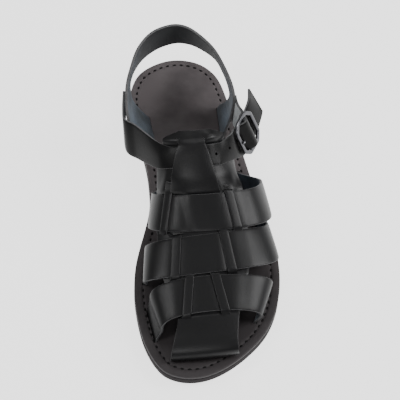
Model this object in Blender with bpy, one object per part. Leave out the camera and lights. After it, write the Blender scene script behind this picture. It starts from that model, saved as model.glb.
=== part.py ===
"""Fisherman sandal, left foot, of woven leather straps on a stitched flat sole.

Lengths are in millimetres and are turned to metres once, where a mesh is made.
Stations are measured from the back of the heel towards the toe. Sideways places
are measured from the heel's centre line, outwards to the little-toe side.
The finished model has +X towards the little toe, the toe towards -Y and +Z up.
"""
import math
from collections import namedtuple

import bmesh
import bpy
import numpy as np

MM = 0.001

# Driving sizes of the shoe
SOLE_LENGTH = 285.0
FOOTBED_LEATHER = 3.7
OUTSOLE_THICK = 6.7
HEEL_LIFT = 8.0
HEEL_BREAST = 74.0
TOE_SPRING = 4.0
FIT_GAP = 0.3

# Leather and hardware
STRAP_LEATHER = 2.2
WEAVE_STEP = 2.0
THREAD_STEP = 2.85
SLOT_DEPTH = 3.7
SLOT_ROOM = 0.35
TOE_SLOT_ROOM = 2.0

# The outline stops this far short of its two ends, where both edges meet; the
# heel stands back from the outsole's edge
OUTLINE_END = 0.15
HEEL_INSET = 0.6
SLIT_HALF = 0.3
FRAME_CUTTER = 9.0

# Origin: middle of the finished model's box, on the floor
MID_STATION = 142.5
MID_ACROSS = 14.75

# Shape of a foot section: roundness of its arch, the share of the half section
# that lies above its widest place, and the height of that place
ARCH_POWER = 2.3
ARCH_SHARE = 0.74
WIDEST_HEIGHT = 0.42
LEAN_SHARE = 0.7

SoleStation = namedtuple("SoleStation", "station medial lateral")
SOLE_OUTLINE = [
    SoleStation(0.0, -0.5, -0.5),
    SoleStation(4.0, -17.5, 17.0),
    SoleStation(12.0, -29.5, 27.0),
    SoleStation(20.0, -35.0, 32.2),
    SoleStation(34.0, -38.9, 37.0),
    SoleStation(48.0, -38.6, 40.4),
    SoleStation(62.0, -36.0, 43.2),
    SoleStation(78.0, -32.0, 46.8),
    SoleStation(92.0, -28.4, 50.2),
    SoleStation(107.0, -25.6, 54.1),
    SoleStation(121.0, -24.3, 58.0),
    SoleStation(133.0, -24.0, 61.9),
    SoleStation(145.0, -25.2, 65.6),
    SoleStation(158.0, -28.2, 69.4),
    SoleStation(172.0, -31.8, 72.6),
    SoleStation(186.0, -34.8, 74.2),
    SoleStation(200.0, -36.2, 74.5),
    SoleStation(214.0, -36.2, 73.2),
    SoleStation(228.0, -34.7, 70.0),
    SoleStation(242.0, -32.2, 64.2),
    SoleStation(252.0, -29.6, 57.6),
    SoleStation(262.0, -25.8, 48.6),
    SoleStation(272.0, -20.4, 37.2),
    SoleStation(280.0, -13.0, 24.5),
    SoleStation(285.0, 4.5, 4.5),
]

# A hoop is a line across the foot, from its medial root on the footbed over the
# crown to its lateral root
Hoop = namedtuple(
    "Hoop", "medial crown lateral root_in side_in ridge side_out root_out height")

# Front and rear edge of each cross strap, toe first
STRAPS = {
    "toe": (Hoop(254, 240.5, 238, -20.0, -16, 22, 58.0, 54, 35.0),
            Hoop(227, 214.5, 210, -26.0, -24.5, 20, 67.0, 63, 42.3)),
    "middle": (Hoop(205, 212.2, 175, -27.5, -29, 20, 72.5, 64.4, 42.5),
               Hoop(176, 183.9, 147, -24.2, -27.5, 18, 65.0, 57.7, 51.0)),
    "instep": (Hoop(150, 181.6, 135, -17.8, -25, 19, 68.0, 54.0, 52.0),
               Hoop(121, 157.0, 106, -15.8, -22, 19, 61.0, 45.5, 64.5)),
}

# The tongue: its sections from the slot at the toe up to its free end, with the
# places of its two long edges and of the two slits that the ankle strap uses
TongueRow = namedtuple(
    "TongueRow",
    "medial crown lateral side_in ridge side_out height edge_in slit_in slit_out edge_out")
TONGUE = [
    TongueRow(257, 267.4, 233, -30, 16, 60, 9.7, -9.0, 0, 30, 38.4),
    TongueRow(257, 267.4, 233, -30, 16, 60, 13.6, -9.0, 0, 30, 38.4),
    TongueRow(259, 270.6, 238, -30, 16, 60, 18.8, -9.8, 0, 30, 40.6),
    TongueRow(259, 268.2, 247, -29, 16, 60, 25.2, -9.8, 0, 30, 41.2),
    TongueRow(257, 257.5, 250, -25, 18, 60, 30.0, -8.6, -1, 30, 41.2),
    TongueRow(254, 241.5, 238, -19, 20, 59, 32.8, -7.6, -2, 29, 41.4),
    TongueRow(240, 227.5, 224, -22, 20, 63, 36.3, -9.5, -4, 29, 44.0),
    TongueRow(216, 213.3, 193, -27, 20, 69, 40.2, -14.0, -5, 30, 48.5),
    TongueRow(190, 197.5, 161, -28, 19, 68, 44.8, -17.0, -8, 33, 49.2),
    TongueRow(163, 182.8, 141, -26, 19, 66, 49.4, -18.5, -10, 34, 48.8),
    TongueRow(137, 169.5, 121, -24, 18, 64, 54.9, -16.5, -10, 33, 47.0),
    TongueRow(121, 156.5, 106, -22, 16, 60, 63.6, -13.6, -9.4, 31, 45.2),
    TongueRow(108, 146.5, 93, -27, 11, 49, 73.9, -16.5, -9.0, 28.6, 43.6),
    TongueRow(88, 134.5, 72, -31, 11, 43.5, 82.2, -20.5, -6.6, 22.0, 40.6),
    TongueRow(76, 126.5, 60, -31, 13, 41, 86.8, -16.5, -3.6, 16.4, 33.0),
    TongueRow(70, 121.3, 54, -31, 13, 41, 87.0, -10.0, -3.0, 15.4, 26.0),
    TongueRow(66, 117.3, 50, -31, 13, 41, 86.6, -1.0, 2.0, 12.0, 17.5),
]
# Rows between which the tongue's two wings dip under the ankle strap, while the
# band between the slits stays above it
DIP_START = 10.9
DIP_END = 15.6
DIP_RUN = 1.1

# Raised strips that hold each cross strap: sideways places of the strip's middle
# at the strap's rear edge and front edge
Strip = namedtuple("Strip", "strap rear front")
STRIP_WIDTH = 6.6
# Places along a strip as shares of the strap's width, and its lift there
STRIP_SHARES = [-0.1, -0.03, 0.05, 0.25, 0.5, 0.75, 0.95, 1.03, 1.1]
STRIP_LIFTS = [-0.7, 0.3, 1.0, 1.0, 1.0, 1.0, 1.0, 0.3, -0.7]
STRIPS = [
    Strip("toe", 4.4, 2.2),
    Strip("toe", 23.8, 30.6),
    Strip("middle", -4.8, -6.2),
    Strip("middle", 30.2, 36.4),
    Strip("instep", -10.4, -14.2),
    Strip("instep", 34.4, 41.2),
]

# Places on the band round the heel, with its two legs: the upper or front edge
# and the lower or rear edge at each row
BandRow = namedtuple(
    "BandRow", "front_at front_across front_up rear_at rear_across rear_up")
HEEL_BAND = [
    BandRow(86.0, -18.5, 19.0, 57.0, -25.0, 19.3),
    BandRow(87.0, -25.0, 36.0, 57.5, -32.0, 31.0),
    BandRow(88.0, -33.8, 56.0, 58.0, -37.6, 44.0),
    BandRow(84.5, -40.2, 74.0, 55.0, -39.4, 53.0),
    BandRow(70.0, -41.2, 78.0, 46.0, -38.9, 54.0),
    BandRow(51.0, -38.6, 78.0, 35.0, -35.9, 54.0),
    BandRow(32.0, -33.0, 78.0, 24.0, -29.0, 54.0),
    BandRow(17.0, -22.5, 78.0, 14.8, -18.3, 54.0),
    BandRow(10.0, -8.5, 78.0, 9.4, -6.0, 54.0),
    BandRow(10.5, 2.5, 78.0, 8.9, 3.6, 54.0),
    BandRow(17.5, 12.8, 78.0, 13.0, 14.6, 54.0),
    BandRow(32.0, 25.0, 78.0, 24.2, 28.0, 54.0),
    BandRow(50.0, 33.2, 78.0, 38.0, 34.4, 54.0),
    BandRow(67.0, 38.6, 77.6, 50.0, 38.0, 53.0),
    BandRow(76.5, 40.4, 71.0, 55.5, 39.2, 48.0),
    BandRow(78.0, 39.0, 50.0, 53.0, 37.0, 36.0),
    BandRow(79.0, 35.6, 33.0, 49.0, 33.0, 26.0),
    BandRow(80.0, 34.0, 19.0, 47.5, 31.0, 19.3),
]

# The ankle strap beyond the tongue, on the medial side and on the buckle's side
ANKLE_MEDIAL = [
    BandRow(70.0, -44.0, 76.0, 71.5, -42.9, 52.5),
    BandRow(84.0, -43.6, 72.0, 90.0, -42.6, 48.0),
    BandRow(95.0, -41.4, 67.5, 109.0, -40.4, 47.5),
    BandRow(104.0, -33.5, 68.0, 119.0, -32.5, 50.5),
]
ANKLE_ACROSS = [-19.0, -10.0, 0.0, 10.0, 20.0, 25.0, 30.0]
ANKLE_REAR_ROW = 14.0
ANKLE_FRONT_ROW = 12.4
ANKLE_LATERAL = BandRow(112.0, 36.6, 78.5, 124.0, 40.2, 62.0)
ANKLE_FREE = [
    BandRow(80.0, 50.8, 78.0, 81.0, 61.8, 55.3),
    BandRow(71.5, 51.2, 80.0, 77.0, 62.8, 58.0),
]

# The buckle: its middle, and its two directions along and across the strap,
# each as steps of station, across and up
BUCKLE_MIDDLE = (101.5, 50.6, 65.0)
BUCKLE_ALONG = (-0.82, 0.52, -0.2)
BUCKLE_ACROSS = (0.2, 0.28, -0.93)
BUCKLE_LENGTH = 22.0
BUCKLE_WIDTH = 32.0
BUCKLE_CORNER = 4.5
BUCKLE_BAR = 3.0
BUCKLE_THICK = 2.4
CENTRE_BAR = 2.2
INNER_CORNER = 1.8
ANKLE_WIDTH = 22.5
CHAPE_WIDTH = 20.0
PRONG_SIDES = 8

# Paths past the buckle's bars: under the front bar, over the centre bar and under
# the rear bar for the ankle strap; under the rear bar and up to the centre bar for
# the chape, which starts on the quarter; over the front bar for the prong
BuckleStep = namedtuple("BuckleStep", "along out")
STRAP_PATH = [
    BuckleStep(-12.5, -3.1),
    BuckleStep(-8.4, -3.2),
    BuckleStep(-4.7, -0.1),
    BuckleStep(-1.5, 2.8),
    BuckleStep(1.5, 2.8),
    BuckleStep(4.7, -0.1),
    BuckleStep(8.4, -3.2),
    BuckleStep(12.0, -3.2),
]
CHAPE_PATH = [
    BuckleStep(12.0, -6.1),
    BuckleStep(8.2, -6.0),
    BuckleStep(4.6, -4.2),
    BuckleStep(1.4, -2.8),
    BuckleStep(-1.4, -2.6),
]
CHAPE_QUARTER = [
    BandRow(61.0, 42.6, 74.5, 57.0, 42.7, 54.5),
    BandRow(70.0, 43.2, 74.0, 69.0, 43.4, 54.0),
    BandRow(77.5, 45.2, 72.8, 81.0, 46.8, 52.6),
]
ProngStep = namedtuple("ProngStep", "along out radius")
PRONG_PATH = [
    ProngStep(-1.45, -0.1, 0.85),
    ProngStep(-3.2, 0.4, 0.95),
    ProngStep(-5.2, 1.5, 0.95),
    ProngStep(-7.2, 2.6, 0.95),
    ProngStep(-9.5, 2.65, 0.9),
    ProngStep(-11.2, 2.6, 0.75),
    ProngStep(-12.4, 2.3, 0.45),
]
PRONG_HOLE = ((-6.4, -1.7), (-1.4, 1.4), (-4.0, 5.0))


def spot(station, across, up):
    """Place in the finished model's axes, in millimetres."""
    return np.array([across - MID_ACROSS, MID_STATION - station, up])


def direction(station, across, up):
    """Unit direction in the finished model's axes."""
    vector = np.array([across, -station, up], dtype=float)
    return vector / np.linalg.norm(vector)


def ease(share):
    """Soft step from 0 to 1."""
    share = min(max(share, 0.0), 1.0)
    return share * share * (3.0 - 2.0 * share)


def through(places, values, at):
    """Smooth curve through values given at rising places, read at one place."""
    places = [float(place) for place in places]
    values = [np.asarray(value, dtype=float) for value in values]
    at = min(max(at, places[0]), places[-1])
    k = min(max(int(np.searchsorted(places, at)) - 1, 0), len(places) - 2)

    def slope(i):
        low = max(i - 1, 0)
        high = min(i + 1, len(places) - 1)
        return (values[high] - values[low]) / (places[high] - places[low])

    run = places[k + 1] - places[k]
    s = (at - places[k]) / run
    return ((2 * s ** 3 - 3 * s ** 2 + 1) * values[k]
            + (s ** 3 - 2 * s ** 2 + s) * run * slope(k)
            + (3 * s ** 2 - 2 * s ** 3) * values[k + 1]
            + (s ** 3 - s ** 2) * run * slope(k + 1))


def turn_of(station):
    """Angle that spreads the outline's stations evenly round its two ends."""
    return math.acos(1.0 - 2.0 * min(max(station / SOLE_LENGTH, 0.0), 1.0))


def sole_edges(station):
    """Medial and lateral edge of the sole at a station."""
    places = [turn_of(row.station) for row in SOLE_OUTLINE]
    values = [(row.medial, row.lateral) for row in SOLE_OUTLINE]
    return through(places, values, turn_of(station))


def footbed_height(station):
    """Top of the footbed: raised at the heel, flat at the ball, sprung at the toe."""
    ball_start, heel_end, spring_start = 185.0, 50.0, 215.0
    low = FOOTBED_LEATHER + OUTSOLE_THICK + 2 * FIT_GAP
    height = low + HEEL_LIFT * (1.0 - ease((station - heel_end) / (ball_start - heel_end)))
    if station > spring_start:
        height += TOE_SPRING * ((station - spring_start) / (SOLE_LENGTH - spring_start)) ** 2
    return height


def outsole_top(station):
    return footbed_height(station) - FOOTBED_LEATHER - FIT_GAP


def outsole_bottom(station):
    return outsole_top(station) - OUTSOLE_THICK - FIT_GAP


def hoop_point(hoop, turn):
    """Point of a hoop: turn is -1 at its medial root, 0 at its crown, 1 laterally."""
    outer = turn > 0
    side = hoop.side_out if outer else hoop.side_in
    root = hoop.root_out if outer else hoop.root_in
    floor = footbed_height(hoop.lateral if outer else hoop.medial)
    widest = floor + WIDEST_HEIGHT * (hoop.height - floor)
    far = abs(turn)
    if far <= ARCH_SHARE:
        angle = 0.5 * math.pi * far / ARCH_SHARE
        reach = (math.sin(angle) ** ARCH_POWER + math.cos(angle) ** ARCH_POWER) ** (-1 / ARCH_POWER)
        across = hoop.ridge + (side - hoop.ridge) * math.sin(angle) * reach
        up = widest + (hoop.height - widest) * math.cos(angle) * reach
    else:
        share = (far - ARCH_SHARE) / (1.0 - ARCH_SHARE)
        across = side + (root - side) * ease(share)
        up = widest + (floor - widest) * share
    return spot(hoop_station(hoop, turn, up, floor), across, up)


def hoop_station(hoop, turn, up, floor):
    """Station of a hoop's point: the hoop leans, bows and may run aslant."""
    drop = (hoop.height - up) / (hoop.height - floor)
    bend = LEAN_SHARE * drop + (1.0 - LEAN_SHARE) * turn * turn
    middle = 0.5 * (hoop.medial + hoop.lateral)
    slant = 0.5 * (hoop.lateral - hoop.medial)
    return middle + slant * turn + (hoop.crown - middle) * (1.0 - bend)


def hoop_at(hoop, across):
    """Point of a hoop's arch at a sideways place."""
    side = hoop.side_out if across > hoop.ridge else hoop.side_in
    share = min(abs((across - hoop.ridge) / (side - hoop.ridge)), 0.97)
    rest = (1.0 - share ** ARCH_POWER) ** (1 / ARCH_POWER)
    turn = ARCH_SHARE * math.atan2(share, rest) / (0.5 * math.pi)
    return hoop_point(hoop, math.copysign(turn, across - hoop.ridge))


def tongue_hoop(row):
    """Hoop of the tongue's surface at a row, which may lie between two sections."""
    values = [(s.medial, s.crown, s.lateral, s.side_in, s.ridge, s.side_out, s.height)
              for s in TONGUE]
    medial, crown, lateral, side_in, ridge, side_out, height = through(
        range(len(TONGUE)), values, row)
    return Hoop(medial, crown, lateral, side_in, side_in, ridge, side_out, side_out, height)


def tongue_rails(row):
    """Sideways places of the tongue's edges and slits at a row."""
    values = [(s.edge_in, s.slit_in, s.slit_out, s.edge_out) for s in TONGUE]
    return through(range(len(TONGUE)), values, row)


def surface_normals(grid):
    """Unit normals of a grid of points, pointing to its outer side."""
    along = np.gradient(grid, axis=0)
    across = np.gradient(grid, axis=1)
    normal = np.cross(across, along)
    return normal / np.linalg.norm(normal, axis=2, keepdims=True)


def new_object(name, verts, faces, material):
    """Mesh object in metres from points in millimetres, with its faces outwards."""
    mesh = bpy.data.meshes.new(name)
    mesh.from_pydata([tuple(float(c) * MM for c in v) for v in verts], [], faces)
    bm = bmesh.new()
    bm.from_mesh(mesh)
    bmesh.ops.recalc_face_normals(bm, faces=bm.faces)
    bm.to_mesh(mesh)
    bm.free()
    obj = bpy.data.objects.new(name, mesh)
    bpy.context.scene.collection.objects.link(obj)
    if material is not None:
        mesh.materials.append(material)
    return obj


def grid_faces(rows, cols, start=0, flip=False):
    """Quads of a grid of points."""
    faces = []
    for i in range(rows - 1):
        for j in range(cols - 1):
            a = start + i * cols + j
            quad = (a, a + 1, a + cols + 1, a + cols)
            faces.append(quad[::-1] if flip else quad)
    return faces


def sheet(name, grid, thickness, material, normals=None, ends=0.0):
    """Closed leather sheet round a grid of points on its middle surface."""
    grid = np.asarray(grid, dtype=float)
    rows, cols = grid.shape[:2]
    if normals is None:
        normals = surface_normals(grid)
    if ends:
        grid = widened(grid, ends)
    outer = (grid + normals * thickness / 2).reshape(-1, 3)
    inner = (grid - normals * thickness / 2).reshape(-1, 3)
    count = rows * cols
    rim = ([(0, j) for j in range(cols)] + [(i, cols - 1) for i in range(1, rows)]
           + [(rows - 1, j) for j in range(cols - 2, -1, -1)]
           + [(i, 0) for i in range(rows - 2, 0, -1)])
    ids = [i * cols + j for i, j in rim]
    faces = grid_faces(rows, cols) + grid_faces(rows, cols, count, flip=True)
    for k, a in enumerate(ids):
        b = ids[(k + 1) % len(ids)]
        faces.append((b, a, a + count, b + count))
    return new_object(name, np.vstack([outer, inner]), faces, material)


def widened(grid, extra):
    """Grid with its two long edges moved outwards."""
    grid = grid.copy()
    for edge, inner in ((0, 1), (-1, -2)):
        step = grid[:, edge] - grid[:, inner]
        grid[:, edge] += extra * step / np.linalg.norm(step, axis=1, keepdims=True)
    return grid


def slab(name, low, high, start, end, inset, material, count=44):
    """Layer of the sole between two heights, with upright sides."""
    first, last = turn_of(start), turn_of(end)
    verts = []
    for i in range(count):
        turn = first + (last - first) * i / (count - 1)
        station = 0.5 * SOLE_LENGTH * (1.0 - math.cos(turn))
        medial, lateral = sole_edges(station)
        edges = (medial + inset, lateral - inset)
        verts += [spot(station, across, high(station)) for across in edges]
        verts += [spot(station, across, low(station)) for across in edges]
    faces = [(0, 1, 3, 2)]
    for i in range(count - 1):
        a, b = 4 * i, 4 * i + 4
        faces += [(a, b, b + 1, a + 1), (a + 2, a + 3, b + 3, b + 2),
                  (a, a + 2, b + 2, b), (a + 1, b + 1, b + 3, a + 3)]
    a = 4 * (count - 1)
    faces.append((a, a + 2, a + 3, a + 1))
    return new_object(name, verts, faces, material)


def finish(name, colour, roughness, metallic=0.0):
    """Material with the part's colour, given as linear values."""
    material = bpy.data.materials.new(name)
    material.use_nodes = True
    shader = material.node_tree.nodes["Principled BSDF"]
    shader.inputs["Base Color"].default_value = (*colour, 1.0)
    shader.inputs["Roughness"].default_value = roughness
    shader.inputs["Metallic"].default_value = metallic
    return material


def cut(obj, cutters, operation="DIFFERENCE"):
    """Boolean of an object with several others, applied in order."""
    for cutter in cutters:
        modifier = obj.modifiers.new(cutter.name, "BOOLEAN")
        modifier.operation = operation
        modifier.object = cutter
        cutter.hide_render = True
        cutter.display_type = "WIRE"


def slot_drop(points):
    """Rows that lead a strap's root straight down into its slot."""
    depth = FOOTBED_LEATHER - FIT_GAP
    return [points - np.array([0.0, 0.0, depth * k / 2]) for k in (2, 1)]


def strap_grid(front, rear, turns=33, widths=4):
    """Middle surface of a cross strap between its two edges, slots included."""
    rows = []
    for i in range(turns):
        turn = -1.0 + 2.0 * i / (turns - 1)
        a, b = hoop_point(rear, turn), hoop_point(front, turn)
        rows.append([a + (b - a) * k / (widths - 1) for k in range(widths)])
    grid = np.array(rows)
    return np.concatenate([slot_drop(grid[0]), grid, slot_drop(grid[-1])[::-1]])


def slot_cutter(name, line, spread, width=STRAP_LEATHER + 2 * SLOT_ROOM):
    """Cutter for a slot of the footbed that follows a strap's root line."""
    top = np.array([0.0, 0.0, 1.5])
    down = np.array([0.0, 0.0, SLOT_DEPTH + 1.5])
    grid = np.array([line + top, line + (top - down) / 2, line - down])
    return sheet(name, grid, width, None, ends=spread)


def wing_dip(row):
    """Share of the full dip of the wings beside the slits."""
    return ease((row - DIP_START) / DIP_RUN) * ease((DIP_END - row) / DIP_RUN)


def tongue_layers(rows):
    """Middle points and normals of the tongue in three bands, split by the slits."""
    bands = ((0, 3), (1, 6), (2, 3))
    surface = []
    for first, steps in bands:
        grid = []
        for row in rows:
            rails = tongue_rails(row)
            low, high = rails[first], rails[first + 1]
            open_by = SLIT_HALF * min(1.0, 4.0 * wing_dip(row))
            low += open_by if first > 0 else 0.0
            high -= open_by if first < 2 else 0.0
            hoop = tongue_hoop(row)
            grid.append([hoop_at(hoop, low + (high - low) * k / steps)
                         for k in range(steps + 1)])
        grid = np.array(grid)
        normals = surface_normals(grid)
        if first != 1:
            dip = np.array([wing_dip(row) for row in rows])[:, None, None]
            grid = grid - normals * dip * 2 * THREAD_STEP
        surface.append((grid, normals))
    return surface


def tongue_object(material):
    """The tongue as one sheet with two slits."""
    last = len(TONGUE) - 1
    rows = [0.5 * k for k in range(11)]
    rows += [5.0 + 0.75 * k for k in range(1, 8)]
    rows += [DIP_START + DIP_RUN * k / 4 for k in range(5)]
    full = (DIP_START + DIP_RUN, DIP_END - DIP_RUN)
    rows += [full[0] + (full[1] - full[0]) * k / 7 for k in range(1, 8)]
    rows += [DIP_END - DIP_RUN + DIP_RUN * k / 4 for k in range(1, 5)]
    rows.append(last)
    points, normals, places, quads = [], [], {}, []
    for grid, normal in tongue_layers(rows):
        ids = np.zeros(grid.shape[:2], dtype=int)
        for i, j in np.ndindex(*grid.shape[:2]):
            key = tuple(np.round(grid[i, j], 3))
            if key not in places:
                places[key] = len(points)
                points.append(grid[i, j])
                normals.append([])
            normals[places[key]].append(normal[i, j])
            ids[i, j] = places[key]
        for i in range(ids.shape[0] - 1):
            for j in range(ids.shape[1] - 1):
                quads.append((ids[i, j], ids[i, j + 1], ids[i + 1, j + 1], ids[i + 1, j]))
    return thick_surface("tongue_sheet", points, normals, quads, material)


def thick_surface(name, points, normals, quads, material):
    """Closed sheet from a welded surface, with walls along all its open edges."""
    points = np.array(points)
    mean = np.array([np.sum(n, axis=0) for n in normals])
    mean /= np.linalg.norm(mean, axis=1, keepdims=True)
    count = len(points)
    verts = np.vstack([points + mean * STRAP_LEATHER / 2, points - mean * STRAP_LEATHER / 2])
    faces = [tuple(int(i) for i in q) for q in quads]
    faces += [tuple(int(i) + count for i in reversed(q)) for q in quads]
    edges = {}
    for quad in quads:
        for k in range(4):
            edges[(int(quad[k]), int(quad[(k + 1) % 4]))] = True
    for a, b in edges:
        if (b, a) not in edges:
            faces.append((b, a, a + count, b + count))
    return new_object(name, verts, faces, material)


def strip_object(name, strip, material):
    """Raised strip over a cross strap, with both its ends sunk in the tongue."""
    front, rear = STRAPS[strip.strap]
    rows = []
    for share in STRIP_SHARES:
        middle = strip.rear + (strip.front - strip.rear) * share
        row = []
        for side in (-0.5, 0.0, 0.5):
            across = middle + side * STRIP_WIDTH
            a, b = hoop_at(rear, across), hoop_at(front, across)
            row.append(a + (b - a) * share)
        rows.append(row)
    grid = np.array(rows)
    normals = surface_normals(grid)
    normals *= np.sign(normals[:, :, 2:3])
    grid = grid + normals * WEAVE_STEP * np.array(STRIP_LIFTS)[:, None, None]
    return sheet(name, grid, STRAP_LEATHER, material, normals=normals)


def band_grid(rows, steps, widths):
    """Smooth band through rows of two edge places."""
    pairs = edge_pairs(rows)
    last = len(rows) - 1
    grid = []
    for i in range(steps + 1):
        front, rear = through(range(last + 1), pairs, last * i / steps)
        grid.append([front + (rear - front) * k / (widths - 1) for k in range(widths)])
    return np.array(grid)


def buckle_frame():
    """The buckle's own middle and directions: along, across and outwards."""
    middle = spot(*BUCKLE_MIDDLE)
    along = direction(*BUCKLE_ALONG)
    across = direction(*BUCKLE_ACROSS)
    across -= along * np.dot(along, across)
    across /= np.linalg.norm(across)
    return middle, along, across, np.cross(along, across) * -1.0


def buckle_point(along_by, across_by, out_by):
    middle, along, across, out = buckle_frame()
    return middle + along * along_by + across * across_by + out * out_by


def edge_pairs(rows):
    """Pairs of upper and lower places from a table of band rows."""
    return [(spot(r.front_at, r.front_across, r.front_up),
             spot(r.rear_at, r.rear_across, r.rear_up)) for r in rows]


def across_band(pair, widths):
    """Even places across a band between its two edges."""
    first, last = np.array(pair[0]), np.array(pair[1])
    return np.array([first + (last - first) * k / (widths - 1) for k in range(widths)])


def under_tongue(widths):
    """Rows of the ankle strap where it lies in the tongue's slits."""
    rows = np.linspace(ANKLE_REAR_ROW, ANKLE_FRONT_ROW, widths)
    grid = np.array([[hoop_at(tongue_hoop(row), across) for row in rows]
                     for across in ANKLE_ACROSS])
    normals = surface_normals(grid)
    return list(grid - normals * np.sign(normals[:, :, 2:3]) * THREAD_STEP)


def past_buckle(path, width):
    """Pairs of edge places of a band that follows a path in the buckle."""
    return [(buckle_point(step.along, -width / 2, step.out),
             buckle_point(step.along, width / 2, step.out)) for step in path]


def smooth_rows(rows, steps):
    """Rows of a band with smooth rows added between them."""
    runs = [0.0]
    for row, following in zip(rows, rows[1:]):
        runs.append(runs[-1] + np.linalg.norm(row.mean(axis=0) - following.mean(axis=0)))
    grid = []
    for start, end in zip(runs, runs[1:]):
        for k in range(steps):
            grid.append(through(runs, rows, start + (end - start) * k / steps))
    grid.append(rows[-1])
    return np.array(grid)


def ankle_grid(widths=4):
    """Middle surface of the ankle strap, from its sewn end to its free tip."""
    rows = [across_band(pair, widths) for pair in edge_pairs(ANKLE_MEDIAL)]
    rows += under_tongue(widths)
    pairs = edge_pairs([ANKLE_LATERAL])
    pairs += past_buckle(STRAP_PATH, ANKLE_WIDTH)
    pairs += edge_pairs(ANKLE_FREE)
    rows += [across_band(pair, widths) for pair in pairs]
    return smooth_rows(rows, 3)


def chape_grid(widths=3):
    """Middle surface of the chape, from the quarter to the buckle's centre bar."""
    pairs = edge_pairs(CHAPE_QUARTER) + past_buckle(CHAPE_PATH, CHAPE_WIDTH)
    return smooth_rows([across_band(pair, widths) for pair in pairs], 2)


def prong_object(name, material):
    """Tapered rod that follows its path from the centre bar to the front bar."""
    steps = np.array(PRONG_PATH)
    slopes = np.gradient(steps[:, :2], axis=0)
    slopes /= np.linalg.norm(slopes, axis=1, keepdims=True)
    verts = []
    for (along, out, radius), (run, rise) in zip(steps, slopes):
        for k in range(PRONG_SIDES):
            turn = 2.0 * math.pi * k / PRONG_SIDES
            lift = radius * math.cos(turn)
            verts.append(buckle_point(along - rise * lift, radius * math.sin(turn),
                                      out + run * lift))
    faces = [tuple(range(PRONG_SIDES))]
    for i in range(len(steps) - 1):
        for k in range(PRONG_SIDES):
            a = i * PRONG_SIDES + k
            b = i * PRONG_SIDES + (k + 1) % PRONG_SIDES
            faces.append((a, b, b + PRONG_SIDES, a + PRONG_SIDES))
    last = (len(steps) - 1) * PRONG_SIDES
    faces.append(tuple(range(last, last + PRONG_SIDES)))
    return new_object(name, verts, faces, material)


def box_at(name, along_range, across_range, out_range, material):
    """Block in the buckle's own directions."""
    verts = [buckle_point(a, b, c) for a in along_range for b in across_range for c in out_range]
    faces = [(0, 1, 3, 2), (4, 6, 7, 5), (0, 4, 5, 1), (2, 3, 7, 6), (0, 2, 6, 4), (1, 5, 7, 3)]
    return new_object(name, verts, faces, material)


def buckle_ring(name, length, width, corner, thick, material):
    """Plate in the buckle's plane with its four corners cut off."""
    x, y = length / 2, width / 2
    outline = [(x - corner, y), (x, y - corner), (x, corner - y), (x - corner, -y),
               (corner - x, -y), (-x, corner - y), (-x, y - corner), (corner - x, y)]
    verts = [buckle_point(a, b, side * thick / 2) for side in (1, -1) for a, b in outline]
    faces = [tuple(range(8)), tuple(range(15, 7, -1))]
    faces += [(k, k + 8, (k + 1) % 8 + 8, (k + 1) % 8) for k in range(8)]
    return new_object(name, verts, faces, material)


def build_sole(rubber, footbed):
    """Heel lift, outsole and footbed; returns the footbed for its slots."""
    tip = SOLE_LENGTH - OUTLINE_END
    slab("heel", lambda s: 0.0, lambda s: outsole_bottom(s) - FIT_GAP, OUTLINE_END, HEEL_BREAST,
         HEEL_INSET, rubber, count=26)
    slab("outsole", lambda s: max(outsole_bottom(s), 0.0), outsole_top, OUTLINE_END, tip, 0.0,
         rubber)
    return slab("insole", lambda s: footbed_height(s) - FOOTBED_LEATHER, footbed_height,
                OUTLINE_END, tip, 0.0, footbed)


def build_upper(leather, insole):
    """Cross straps, tongue and strips as one woven wall, with their slots."""
    upper = tongue_object(leather)
    upper.name = "upper"
    parts, cutters = [], []
    for name, (front, rear) in STRAPS.items():
        grid = strap_grid(front, rear)
        parts.append(sheet(name + "_strap", grid, STRAP_LEATHER, None))
        for side, line in (("medial", grid[2]), ("lateral", grid[-3])):
            cutters.append(slot_cutter(f"{name}_slot_{side}", line, SLOT_ROOM))
    for number, strip in enumerate(STRIPS):
        parts.append(strip_object(f"strip_{number}", strip, None))
    cut(upper, parts, "UNION")
    seat = tongue_hoop(1.0)
    low, high = TONGUE[1].edge_in, TONGUE[1].edge_out
    line = np.array([hoop_at(seat, low + (high - low) * k / 6) for k in range(7)])
    line[:, 2] = [footbed_height(MID_STATION - y) for y in line[:, 1]]
    cutters.append(slot_cutter("toe_slot", line, SLOT_ROOM, STRAP_LEATHER + TOE_SLOT_ROOM))
    cut(insole, cutters)


def build_heel_strap(leather, insole):
    """Band round the heel, one piece with its two legs."""
    grid = band_grid(HEEL_BAND, 51, 4)
    grid = np.concatenate([slot_drop(grid[0]), grid, slot_drop(grid[-1])[::-1]])
    sheet("heel_strap", grid, STRAP_LEATHER, leather)
    cut(insole, [slot_cutter("leg_slot_medial", grid[2], SLOT_ROOM),
                 slot_cutter("leg_slot_lateral", grid[-3], SLOT_ROOM)])


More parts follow.
